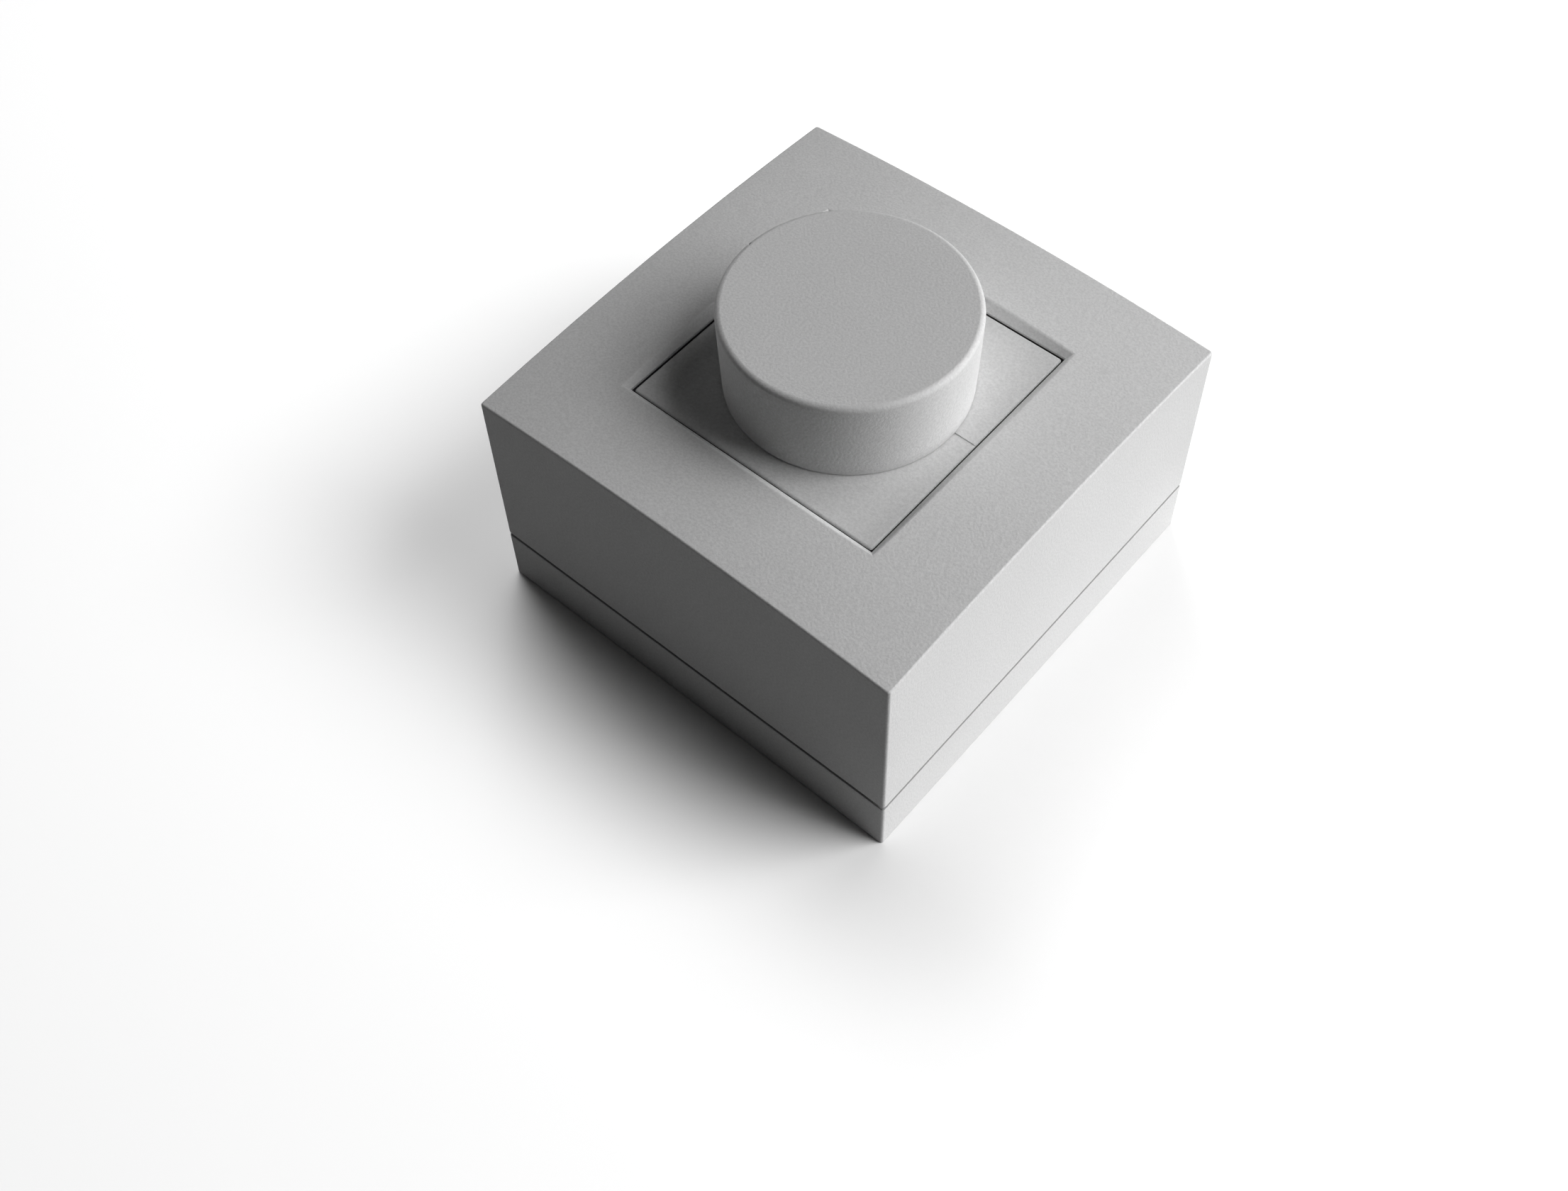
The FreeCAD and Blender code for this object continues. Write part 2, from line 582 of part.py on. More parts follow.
def add_domed_block(body, name, side, inset):
    """Square block above the base, topped by the dome's sphere or by one that lies inset from it."""
    block = draw_rectangle(sketch_on(body, name, SHOULDER), side, side)
    pad(body, block, "corner_height + 4 * edge_rise - " + SHOULDER)
    sketch = sketch_on(body, name + "_dome", plane="XZ_Plane")
    dome = "(" + DOME_RADIUS + " - " + inset + ")"
    radius, centre = number(dome), number(DOME_CENTRE)
    reach, ceiling = "(0.75 * box_side)", "(corner_height + 6 * edge_rise)"
    reach_now, ceiling_now = number(reach), number(ceiling)
    end_height = centre + (radius ** 2 - reach_now ** 2) ** 0.5
    crown = VECTOR(0, centre + radius, 0)
    shoulder = VECTOR(reach_now, end_height, 0)
    between = VECTOR(reach_now / 2, centre + (radius ** 2 - reach_now ** 2 / 4) ** 0.5, 0)
    curve = sketch.addGeometry(Part.Arc(shoulder, between, crown), False)
    axis_side = line(sketch, 0, crown.y, 0, ceiling_now)
    top = line(sketch, 0, ceiling_now, reach_now, ceiling_now)
    outside = line(sketch, reach_now, ceiling_now, reach_now, end_height)
    rule(sketch, "Coincident", curve, 2, axis_side, 1)
    rule(sketch, "Coincident", axis_side, 2, top, 1)
    rule(sketch, "Coincident", top, 2, outside, 1)
    rule(sketch, "Coincident", outside, 2, curve, 1)
    rule(sketch, "Vertical", axis_side)
    rule(sketch, "Horizontal", top)
    rule(sketch, "Vertical", outside)
    rule(sketch, "PointOnObject", axis_side, 1, -2)
    rule(sketch, "PointOnObject", curve, 3, -2)
    measure(sketch, "Radius", (curve,), dome)
    measure(sketch, "DistanceY", (ROOT, 1, curve, 3), DOME_CENTRE)
    measure(sketch, "DistanceY", (ROOT, 1, top, 1), ceiling)
    measure(sketch, "DistanceX", (ROOT, 1, outside, 1), reach)
    feature = body.newObject("PartDesign::Groove", name + "_trim")
    feature.Profile = sketch
    feature.ReferenceAxis = (sketch, ["V_Axis"])
    feature.Angle = 360
    body.Tip = feature
    cuts.append(feature)
    return feature


def cut_window(body):
    """Collar with the plate's ledge, the throat and the bevel around it."""
    collar_foot = "(" + LEDGE_TOP + " - ledge_thickness)"
    collar = sketch_on(body, "collar", collar_foot)
    side = "(" + THROAT_SIDE + " + 2 * collar_wall)"
    draw_rectangle(collar, side, side)
    pad(body, collar, "plate_top - " + collar_foot)
    opening = sketch_on(body, "ledge_opening", collar_foot)
    side = "(" + THROAT_SIDE + " - 2 * ledge_width)"
    draw_rectangle(opening, side, side)
    pocket(body, opening, "corner_height", up=True)
    throat = draw_rectangle(sketch_on(body, "throat", LEDGE_TOP), THROAT_SIDE, THROAT_SIDE)
    pocket(body, throat, "corner_height", up=True)
    foot_level = "(plate_top + bevel_lift)"
    foot = draw_rectangle(sketch_on(body, "bevel_foot", foot_level), THROAT_SIDE, THROAT_SIDE)
    side = "(" + THROAT_SIDE + " + 2 * bevel_run)"
    head = draw_rectangle(sketch_on(body, "bevel_head", foot_level + " + bevel_rise"), side, side)
    bevel = body.newObject("PartDesign::SubtractiveLoft", "bevel")
    bevel.Profile = foot
    bevel.Sections = [head]
    bevel.Ruled = True
    body.Tip = bevel
    cuts.append(bevel)
    return bevel


def round_cover(body, feature):
    side = number("box_side") / 2

    def outer_corner(point):
        return near(abs(point.x), side) and near(abs(point.y), side)

    return round_edges(body, feature, outer_corner, "edge_round")


# centre plate


def make_plate():
    body = new_body("centre_plate")
    plate = sketch_on(body, "plate", LEDGE_TOP)
    pad(body, draw_rounded(plate, "plate_side", "plate_side", "plate_corner"), "plate_edge")
    cup_foot = "(" + WELL_FLOOR + " - well_floor)"
    cup = draw_circle(sketch_on(body, "well_cup", cup_foot), "well_diameter + 2 * well_wall")
    pad(body, cup, LEDGE_TOP + " - " + cup_foot)
    peg_foot = "(" + LID_TOP + " + peg_lift)"
    peg = sketch_on(body, "peg", peg_foot, x="peg_place", y="peg_place")
    draw_circle(peg, "peg_diameter")
    mirrored(body, [pad(body, peg, cup_foot + " - " + peg_foot)], "YZ_Plane")
    pocket(body, draw_circle(sketch_on(body, "well", "plate_top"), "well_diameter"), "well_depth")
    hole = draw_circle(sketch_on(body, "bush_hole", "plate_top"), "bush_diameter + 2 * loose_gap")
    last = pocket(body, hole, "well_depth + well_floor + overcut")
    top, side = number("plate_top"), number("plate_side") / 2

    def rim(point):
        at_edge = max(abs(point.x), abs(point.y)) > side - number("plate_corner") - 0.01
        return near(point.z, top) and at_edge

    round_edges(body, last, rim, "plate_round")
    outside, inside = "(plate_side / 2 + overcut)", "(" + FOOT_RADIUS + " - overcut)"
    middle = "-(" + outside + " + " + inside + ") / 2"
    mark = sketch_on(body, "mark", "plate_top", x="mark_place", y=middle)
    draw_rectangle(mark, "mark_width", outside + " - " + inside)
    pocket(body, mark, "mark_depth")
    return body


# knob


def make_knob():
    inner = "(" + FOOT_RADIUS + " - knob_wall)"
    body = turned_body("knob", [
        ("0", HUB_FOOT),
        ("hub_diameter / 2", HUB_FOOT),
        ("hub_diameter / 2", KNOB_CEILING),
        (inner, KNOB_CEILING),
        (inner, KNOB_FOOT),
        (FOOT_RADIUS, KNOB_FOOT),
        ("knob_diameter / 2", "knob_top"),
        ("0", "knob_top"),
    ])
    reach = "(" + inner + " - hub_diameter / 2 + 2 * weld)"
    rib = sketch_on(body, "knob_rib", KNOB_CEILING, x="hub_diameter / 2 - weld + " + reach + " / 2")
    draw_rectangle(rib, reach, "rib_thickness")
    around(body, [pad(body, rib, "rib_depth", down=True)], "rib_count")
    bore = draw_circle(sketch_on(body, "knob_bore", HUB_FOOT), SPINDLE_BORE)
    pocket(body, bore, FLAT_FOOT + " + loose_gap - " + HUB_FOOT, up=True)
    chord = "(" + FLAT_PLACE + " + clip_thickness + clip_bend + 2 * running_gap)"
    keyway = draw_flatted(sketch_on(body, "knob_keyway", FLAT_FOOT), SPINDLE_BORE, chord)
    last = pocket(body, keyway, "flat_length + loose_gap", up=True)
    top = number("knob_top")
    round_edges(body, last, lambda point: near(point.z, top), "knob_round")
    outside, inside = "(knob_diameter / 2 + overcut)", "(" + FOOT_RADIUS + " - mark_depth)"
    middle = "(" + outside + " + " + inside + ") / 2"
    groove = draw_rectangle(sketch_on(body, "knob_mark", "knob_top", y=middle),
                            "knob_mark_width", outside + " - " + inside)
    pocket(body, groove, "knob_top - " + KNOB_FOOT + " + overcut")
    return body


def make_clip():
    """Vee-bent spring strip between the hub's flat and the spindle's flat."""
    body = new_body("knob_clip")
    near_side = "(" + FLAT_PLACE + " + running_gap)"
    strip = sketch_on(body, "clip_outline", FLAT_FOOT + " + clip_lift")
    draw_outline(strip, [
        ("-clip_width / 2", near_side + " + clip_bend"),
        ("0", near_side),
        ("clip_width / 2", near_side + " + clip_bend"),
        ("clip_width / 2", near_side + " + clip_bend + clip_thickness"),
        ("0", near_side + " + clip_thickness"),
        ("-clip_width / 2", near_side + " + clip_bend + clip_thickness"),
    ])
    pad(body, strip, "clip_length")
    return body


# rotor and detent


def make_rotor():
    """Spindle, star wheel, contact carrier and stop lug in one moulding."""
    collar_top = "(" + BUSH_FOOT + " - collar_gap)"
    body = turned_body("rotor_spindle", [
        ("0", CARRIER_FOOT + " - pivot_length"),
        ("pivot_diameter / 2", CARRIER_FOOT + " - pivot_length"),
        ("pivot_diameter / 2", CARRIER_FOOT),
        ("carrier_diameter / 2", CARRIER_FOOT),
        ("carrier_diameter / 2", CARRIER_TOP),
        ("star_diameter / 2", CARRIER_TOP),
        ("star_diameter / 2", STAR_TOP),
        ("collar_diameter / 2", STAR_TOP),
        ("collar_diameter / 2", collar_top),
        ("spindle_diameter / 2", collar_top),
        ("spindle_diameter / 2", "spindle_top - spindle_chamfer"),
        ("spindle_diameter / 2 - spindle_chamfer", "spindle_top"),
        ("0", "spindle_top"),
    ])
    notch = draw_circle(sketch_on(body, "notch", STAR_TOP), "2 * " + NOTCH_RADIUS, x="spring_offset")
    around(body, [pocket(body, notch, "star_height")], "360 / step_angle")
    lug_foot = "(carrier_diameter / 2 - 2 * weld)"
    lug = sketch_on(body, "lug", CARRIER_FOOT, y="-(" + lug_foot + " + " + LUG_REACH + ") / 2")
    draw_rectangle(lug, "lug_width", LUG_REACH + " - " + lug_foot)
    pad(body, lug, "carrier_height")
    flat = sketch_on(body, "flat", "spindle_top", y=FLAT_PLACE + " + spindle_diameter / 2")
    draw_rectangle(flat, "spindle_diameter + overcut", "spindle_diameter")
    pocket(body, flat, "flat_length")
    return body


def make_spring(label, side):
    """Leaf spring with a round nose that drops into the star wheel's notches."""
    body = new_body(label)
    sketch = sketch_on(body, label + "_outline", SPRING_FOOT)
    offset, thick = number("spring_offset"), number("spring_thickness")
    half, radius = number("spring_length") / 2, number("nose_radius")
    inner = radius - thick
    rise = (inner ** 2 - thick ** 2) ** 0.5
    near_x, far_x = side * offset, side * (offset + thick)
    points = [(near_x, -half), (near_x, -radius), (near_x, radius), (near_x, half),
              (far_x, half), (far_x, rise), (far_x, -rise), (far_x, -half)]
    outer_nose = (VECTOR(near_x - side * radius, 0, 0), 1, 2)
    inner_nose = (VECTOR(near_x - side * inner, 0, 0), 5, 6)
    sides = []
    for index, (x, y) in enumerate(points):
        after = points[(index + 1) % len(points)]
        nose = [apex for apex, start, _ in (outer_nose, inner_nose) if start == index]
        if nose:
            curve = Part.Arc(VECTOR(x, y, 0), nose[0], VECTOR(*after, 0))
            sides.append(sketch.addGeometry(curve, False))
        else:
            sides.append(line(sketch, x, y, *after))
    ends = [curve_ends(sketch, item, points[index]) for index, item in enumerate(sides)]
    for index, item in enumerate(sides):
        following = (index + 1) % len(sides)
        rule(sketch, "Coincident", item, ends[index][1], sides[following], ends[following][0])
    sign = "-" if side < 0 else ""
    for index in (0, 3, 4, 7):
        x = sign + ("spring_offset" if index in (0, 3) else "(spring_offset + spring_thickness)")
        y = ("-" if index in (0, 7) else "") + "spring_length / 2"
        measure(sketch, "DistanceX", (ROOT, 1, sides[index], ends[index][0]), x)
        measure(sketch, "DistanceY", (ROOT, 1, sides[index], ends[index][0]), y)
    for index in (0, 2, 4, 6):
        rule(sketch, "Vertical", sides[index])
    for nose, size in ((sides[1], "nose_radius"), (sides[5], "nose_radius - spring_thickness")):
        measure(sketch, "Radius", (nose,), size)
        measure(sketch, "DistanceX", (ROOT, 1, nose, 3), sign + "spring_offset")
        measure(sketch, "DistanceY", (ROOT, 1, nose, 3), "0")
    pad(body, sketch, "spring_height")
    return body


def curve_ends(sketch, item, start):
    """Which end of a curve lies at its start, and which at its finish."""
    first = sketch.getPoint(item, 1)
    if first.distanceToPoint(VECTOR(*start, 0)) < 1e-6:
        return 1, 2
    return 2, 1


# switch body


def make_housing():
    body = new_body("switch_housing")
    block = sketch_on(body, "housing_block", HOUSING_FOOT)
    draw_rounded(block, "housing_side", "housing_side", "housing_round")
    pad(body, block, "housing_height")
    chamber = sketch_on(body, "chamber", LID_FOOT)
    side = "(housing_side - 2 * housing_wall)"
    draw_rounded(chamber, side, side, "housing_round")
    pocket(body, chamber, "chamber_depth")
    hollow = sketch_on(body, "hollow", HOUSING_FOOT)
    draw_rounded(hollow, "hollow_width", "hollow_depth", "housing_round")
    pocket(body, hollow, PARTITION_FOOT + " - " + HOUSING_FOOT, up=True)
    boss = draw_circle(sketch_on(body, "bearing", PARTITION_FOOT), "bearing_diameter")
    pad(body, boss, "bearing_height", down=True)
    hole = sketch_on(body, "bearing_bore", PARTITION_TOP)
    draw_circle(hole, "pivot_diameter + 2 * running_gap")
    pocket(body, hole, "partition_thickness + bearing_height + overcut")
    add_columns(body)
    add_seats(body)
    add_stops(body)
    cut_terminals(body)
    return body


def add_columns(body):
    """Corner columns for the screws that hold lid and bracket."""
    column = sketch_on(body, "column", PARTITION_TOP, x="column_place", y="column_place")
    post = pad(body, draw_circle(column, "column_diameter"), "chamber_depth")
    pilot = sketch_on(body, "column_pilot", LID_FOOT, x="column_place", y="column_place")
    draw_circle(pilot, "housing_screw_shank + press_gap")
    hole = pocket(body, pilot, "chamber_depth - pilot_floor")
    around(body, [post, hole], 4)


def add_seats(body):
    """Slotted blocks that hold the ends of the detent strips."""
    y = "(spring_length / 2 - seat_width / 2 + seat_end)"
    seat_top = "(" + SPRING_FOOT + " + spring_height + seat_over)"
    for name, sign in (("right", ""), ("left", "-")):
        x = sign + "(spring_offset + spring_thickness / 2)"
        seat = sketch_on(body, "seat_" + name, PARTITION_TOP, x=x, y=y)
        draw_rectangle(seat, "seat_width", "seat_width")
        block = pad(body, seat, seat_top + " - " + PARTITION_TOP)
        slit = sketch_on(body, "seat_slit_" + name, seat_top, x=x, y=y)
        draw_rectangle(slit, "spring_thickness + press_gap", "seat_width + overcut")
        groove = pocket(body, slit, "spring_height + seat_over")
        mirrored(body, [block, groove], "XZ_Plane")


def add_stops(body):
    """Two pins that end the turn of the rotor's lug."""
    x = STOP_RADIUS + " * sin(" + STOP_ANGLE + ")"
    y = "-" + STOP_RADIUS + " * cos(" + STOP_ANGLE + ")"
    stop = draw_circle(sketch_on(body, "stop", PARTITION_TOP, x=x, y=y), "stop_diameter")
    height = CARRIER_TOP + " - " + PARTITION_TOP + " - stop_drop"
    mirrored(body, [pad(body, stop, height)], "YZ_Plane")


def terminal_places():
    """Name, X and side of each terminal. Three speeds on the upper side, the common below."""
    return [
        ("speed_1", "-terminal_pitch", 1),
        ("speed_2", "0", 1),
        ("speed_3", "terminal_pitch", 1),
        ("common", "0", -1),
    ]


def signed(side, expression):
    return expression if side > 0 else "-(" + expression + ")"


def cut_terminals(body):
    """Pocket for each clamp, slit for each contact's tail and hole for each driver."""
    for name, x, side in terminal_places():
        well = sketch_on(body, "clamp_well_" + name, HOUSING_FOOT, x=x, y=signed(side, "terminal_row"))
        draw_rectangle(well, CLAMP_POCKET, CLAMP_POCKET)
        pocket(body, well, "clamp_lift + clamp_height + loose_gap", up=True)
        slit = sketch_on(body, "tail_slit_" + name, PARTITION_TOP, x=x, y=signed(side, TAIL_PLACE))
        draw_rectangle(slit, "contact_width + loose_gap", "contact_thickness + loose_gap")
        pocket(body, slit, PARTITION_TOP + " - " + CLAMP_FOOT + " - clamp_height")
        level = signed(-side, "housing_side / 2")
        middle = CLAMP_FOOT + " + clamp_height / 2"
        hole = sketch_on(body, "driver_hole_" + name, level, x=x, y=middle, plane="XZ_Plane")
        draw_circle(hole, "terminal_screw_head + 2 * loose_gap")
        pocket(body, hole, "housing_side / 2 - terminal_row", up=side > 0)


def make_lid():
    body = new_body("housing_lid")
    plate = sketch_on(body, "lid_plate", LID_FOOT)
    draw_rounded(plate, "housing_side", "housing_side", "housing_round")
    pad(body, plate, "lid_thickness")
    boss = draw_circle(sketch_on(body, "lid_boss", LID_TOP), "lid_boss_diameter")
    pad(body, boss, "lid_boss_height")
    bore = draw_circle(sketch_on(body, "lid_bore", LID_FOOT), "bush_diameter + press_gap")
    pocket(body, bore, "lid_thickness + lid_boss_height + overcut", up=True)
    recess = draw_circle(sketch_on(body, "lid_recess", LID_FOOT), "bush_flange + 2 * loose_gap")
    pocket(body, recess, "bush_flange_thickness + press_gap", up=True)
    hole = sketch_on(body, "lid_hole", LID_TOP, x="column_place", y="column_place")
    draw_circle(hole, "housing_screw_shank + 3 * loose_gap")
    around(body, [pocket(body, hole, "lid_thickness")], 4)
    return body


def make_bracket():
    body = new_body("mounting_bracket")
    plate = sketch_on(body, "bracket_plate", LID_TOP)
    draw_rounded(plate, BRACKET_SIDE, BRACKET_SIDE, "bracket_round")
    pad(body, plate, "bracket_thickness")
    lip = sketch_on(body, "lip", LID_TOP, x=BRACKET_SIDE + " / 2 - bracket_thickness / 2")
    draw_rectangle(lip, "bracket_thickness", "lip_length")
    around(body, [pad(body, lip, "lip_height", down=True)], 2)
    hole = draw_circle(sketch_on(body, "bracket_hole", "bracket_top"), "lid_boss_diameter + 2 * boss_gap")
    pocket(body, hole, "bracket_thickness")
    screw = sketch_on(body, "bracket_screw_hole", "bracket_top", x="column_place", y="column_place")
    draw_circle(screw, "housing_screw_shank + 4 * loose_gap")
    around(body, [pocket(body, screw, "bracket_thickness")], 4)
    peg = sketch_on(body, "bracket_peg_hole", "bracket_top", x="peg_place", y="peg_place")
    draw_circle(peg, "peg_diameter + 2 * loose_gap")
    mirrored(body, [pocket(body, peg, "bracket_thickness")], "YZ_Plane")
    slot = sketch_on(body, "bracket_slot", "bracket_top", x=PILLAR_SPAN + " / 2")
    draw_slot(slot, "bracket_slot_length", "bracket_slot_width")
    around(body, [pocket(body, slot, "bracket_thickness")], 4)
    return body


def make_bush():
    flange_top = "(" + BUSH_FOOT + " + bush_flange_thickness)"
    return turned_body("spindle_bush", [
        (SPINDLE_BORE + " / 2", BUSH_FOOT),
        ("bush_flange / 2", BUSH_FOOT),
        ("bush_flange / 2", flange_top),
        ("bush_diameter / 2", flange_top),
        ("bush_diameter / 2", BUSH_TOP + " - bush_chamfer"),
        ("bush_diameter / 2 - bush_chamfer", BUSH_TOP),
        (SPINDLE_BORE + " / 2", BUSH_TOP),
    ])


def make_ring(label, kind, radius, height, foot):
    """Nut or washer: a primitive with the bush's hole cut out of it."""
    blank = doc.addObject(kind, label + "_blank")
    if kind == "Part::Prism":
        blank.Polygon = 6
        bind(blank, "Circumradius", radius)
    else:
        bind(blank, "Radius", radius)
    hole = doc.addObject("Part::Cylinder", label + "_hole")
    bind(hole, "Radius", "(bush_diameter + press_gap) / 2")
    for item in (blank, hole):
        bind(item, "Height", height)
        bind(item, "Placement.Base.z", foot)
    ring = doc.addObject("Part::Cut", label)
    ring.Label = label
    ring.Base = blank
    ring.Tool = hole
    return ring


# contacts and terminals


def make_speed_contact(name, x, direction):
    """Pad on the pad circle, strip to its terminal and tail down into the clamp."""
    body = new_body("contact_" + name)
    pad_x = "(" + PAD_RADIUS + " * sin(" + str(direction) + " * step_angle))"
    pad_y = "(" + PAD_RADIUS + " * cos(" + str(direction) + " * step_angle))"
    spot = draw_circle(sketch_on(body, name + "_spot", PARTITION_TOP, x=pad_x, y=pad_y), "pad_diameter")
    pad(body, spot, "contact_thickness")
    strip = sketch_on(body, name + "_strip", PARTITION_TOP)
    outer = "(" + TAIL_PLACE + " + contact_thickness / 2)"
    bend = "(" + outer + " - contact_width / 2)"
    half = "contact_width / 2"
    if direction:
        edge, far = pad_x + " + " + str(-direction) + " * " + half, x + " + " + str(direction) + " * " + half
        draw_outline(strip, [
            (edge, pad_y),
            (pad_x + " + " + str(direction) + " * " + half, pad_y),
            (pad_x + " + " + str(direction) + " * " + half, bend),
            (far, bend),
            (far, outer),
            (edge, outer),
        ])
    else:
        draw_outline(strip, [("-" + half, pad_y), (half, pad_y), (half, outer), ("-" + half, outer)])
    pad(body, strip, "contact_thickness")
    add_tail(body, name, x, 1)
    return body


def add_tail(body, name, x, side):
    level = PARTITION_TOP + " + contact_thickness"
    tail = sketch_on(body, name + "_tail", level, x=x, y=signed(side, TAIL_PLACE))
    pad(body, draw_rectangle(tail, "contact_width", "contact_thickness"), "tail_length", down=True)


def make_common_contact():
    body = new_body("contact_common")
    ring = sketch_on(body, "common_ring", PARTITION_TOP)
    draw_circle(ring, "ring_outer")
    draw_circle(ring, "ring_inner")
    pad(body, ring, "contact_thickness")
    outer = "(" + TAIL_PLACE + " + contact_thickness / 2)"
    inner = "(ring_outer / 2 + ring_inner / 2) / 2"
    middle = "-(" + outer + " + " + inner + ") / 2"
    strip = sketch_on(body, "common_strip", PARTITION_TOP, y=middle)
    draw_rectangle(strip, "contact_width", outer + " - " + inner)
    pad(body, strip, "contact_thickness")
    add_tail(body, "common", "0", -1)
    return body


def make_wiper():
    """Ring around the pivot and an arm with two contact points."""
    body = new_body("wiper_contact")
    foot = "(" + CARRIER_FOOT + " - wiper_thickness)"
    ring = sketch_on(body, "wiper_ring", foot)
    draw_circle(ring, "wiper_hub")
    draw_circle(ring, "pivot_diameter + loose_gap")
    pad(body, ring, "wiper_thickness")
    start = "(wiper_hub / 2 - 2 * weld)"
    end = "(" + PAD_RADIUS + " + dimple_diameter / 2)"
    arm = sketch_on(body, "wiper_arm", foot, y="(" + start + " + " + end + ") / 2")
    pad(body, draw_rectangle(arm, "wiper_width", end + " - " + start), "wiper_thickness")
    track = "(ring_outer + ring_inner) / 4"
    drop = foot + " - " + PARTITION_TOP + " - contact_thickness - contact_gap"
    for name, place in (("track_point", track), ("pad_point", PAD_RADIUS)):
        point = draw_circle(sketch_on(body, name, foot, y=place), "dimple_diameter")
        pad(body, point, drop, down=True)
    return body


def make_clamp(name, x, side):
    """Cage around the contact's tail, open front and back for the wire."""
    body = new_body("terminal_clamp_" + name)
    y = signed(side, "terminal_row")
    ring = sketch_on(body, name + "_cage", CLAMP_FOOT, x=x, y=y)
    draw_rectangle(ring, "clamp_side", "clamp_side")
    pad(body, ring, "clamp_height")
    window = sketch_on(body, name + "_window", CLAMP_FOOT, x=x, y=y)
    inner = "(clamp_side - 2 * clamp_wall)"
    pocket(body, draw_rectangle(window, inner, inner), "clamp_height", up=True)
    level = signed(-side, "terminal_row + clamp_side / 2")
    middle = CLAMP_FOOT + " + clamp_height / 2"
    hole = sketch_on(body, name + "_thread", level, x=x, y=middle, plane="XZ_Plane")
    draw_circle(hole, "terminal_screw_shank + press_gap")
    pocket(body, hole, "clamp_wall", up=side > 0)
    return body


# screws


def screw_outline(shank, head, length):
    """Radius and height of a screw's corners, counted from the underside of its head."""
    edge = "driver_slot / 2"
    return [
        ("0", "-" + length),
        (shank + " / 2 - " + edge, "-" + length),
        (shank + " / 2", "-" + length + " + " + edge),
        (shank + " / 2", "0"),
        (head + " / 2", "0"),
        (head + " / 2", "screw_head_height - " + edge),
        (head + " / 2 - " + edge, "screw_head_height"),
        ("0", "screw_head_height"),
    ]


def make_upright_screws(label, kind, x, y, count):
    """Equal screws that point down from the bracket's face, evenly around Z."""
    body = new_body(label)
    profile = sketch_on(body, label + "_profile", "-(" + y + ")", x=x, y="bracket_top", plane="XZ_Plane")
    draw_outline(profile, screw_outline(kind + "_shank", kind + "_head", kind + "_length"))
    screw = turn(body, profile)
    slot = sketch_on(body, label + "_slot", "bracket_top + screw_head_height", x=x, y=y)
    draw_rectangle(slot, kind + "_head + overcut", "driver_slot")
    around(body, [screw, pocket(body, slot, "driver_slot")], count)
    return body


def make_terminal_screws():
    """Clamp screws along Y, with their heads in the housing's driver holes."""
    body = new_body("terminal_screws")
    middle = CLAMP_FOOT + " + clamp_height / 2"
    outline = screw_outline("terminal_screw_shank", "terminal_screw_head", "terminal_screw_length")
    for name, x, side in terminal_places():
        seat = signed(side, "terminal_row + clamp_side / 2 + loose_gap")
        profile = sketch_on(body, "screw_" + name, x, x=seat, y=middle, plane="YZ_Plane")
        draw_outline(profile, [(signed(side, along), radius) for radius, along in outline])
        turn(body, profile, "H_Axis")
        face = signed(-side, "terminal_row + clamp_side / 2 + loose_gap + screw_head_height")
        slot = sketch_on(body, "screw_slot_" + name, face, x=x, y=middle, plane="XZ_Plane")
        draw_rectangle(slot, "terminal_screw_head + overcut", "driver_slot")
        pocket(body, slot, "driver_slot", up=side > 0)
    return body


# the whole part


def check_model(parts):
    """Stop at a failed object, an invalid shape or a cut that removed nothing."""
    for item in doc.Objects:
        if "Invalid" in item.State or "Error" in item.State:
            raise RuntimeError(f"{item.Name} failed: {item.State}")
    for cut in cuts:
        before, after = cut.BaseFeature.Shape.Volume, cut.Shape.Volume
        if not after < before - 1e-6:
            raise RuntimeError(f"{cut.Name} removed nothing: {before} {after}")
    for item in parts:
        if item.Shape.isNull() or not item.Shape.isValid():
            raise RuntimeError(f"{item.Label} has no valid shape")


def write_parts(parts):
    os.makedirs("parts", exist_ok=True)
    for item in parts:
        item.Shape.exportStep(os.path.join("parts", item.Label + ".step"))
        box = item.Shape.BoundBox
        print(f"{item.Label:24} solids {len(item.Shape.Solids)} volume {item.Shape.Volume:9.1f} "
              f"z {box.ZMin:6.2f} to {box.ZMax:6.2f}")


def make_parts():
    make_base()
    make_cover()
    make_plate()
    make_knob()
    make_clip()
    make_rotor()
    make_spring("detent_spring_left", -1)
    make_spring("detent_spring_right", 1)
    make_housing()
    make_lid()
    make_bracket()
    make_bush()
    washer_foot = WELL_FLOOR
    nut_foot = WELL_FLOOR + " + washer_thickness"
    make_ring("bush_washer", "Part::Cylinder", "washer_diameter / 2", "washer_thickness", washer_foot)
    make_ring("bush_nut", "Part::Prism", "nut_width / 2 / cos(30)", "nut_thickness", nut_foot)
    for direction, (name, x, _) in zip((-1, 0, 1), terminal_places()):
        make_speed_contact(name, x, direction)
    make_common_contact()
    make_wiper()
    for name, x, side in terminal_places():
        make_clamp(name, x, side)
    make_upright_screws("bracket_screws", "bracket_screw", PILLAR_SPAN + " / 2", "0", 2)
    make_upright_screws("housing_screws", "housing_screw", "column_place", "column_place", 4)
    make_terminal_screws()
    doc.recompute()
    wanted = ("PartDesign::Body", "Part::Cut")
    return [item for item in doc.Objects if item.TypeId in wanted and item.Label != "cover_core"]


fill_sheet()
parts = make_parts()
check_model(parts)
write_parts(parts)
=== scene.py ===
# %% [markdown]
# # A rotary control switch, dressed for its picture
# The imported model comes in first, as a fixed frame. Its 26 solids sit where they belong, in
# metres, so every new piece takes its place from them. The three mouldings that the light
# plays on most, cover, centre plate and knob, are modelled again here with bmesh operators,
# because their soft edges and even shading carry the look. The base and the 22 pieces inside
# keep the solids' meshes and get real finishes.

# %% Load the frame
import math

import bmesh
import bpy
from mathutils import Euler, Matrix, Vector


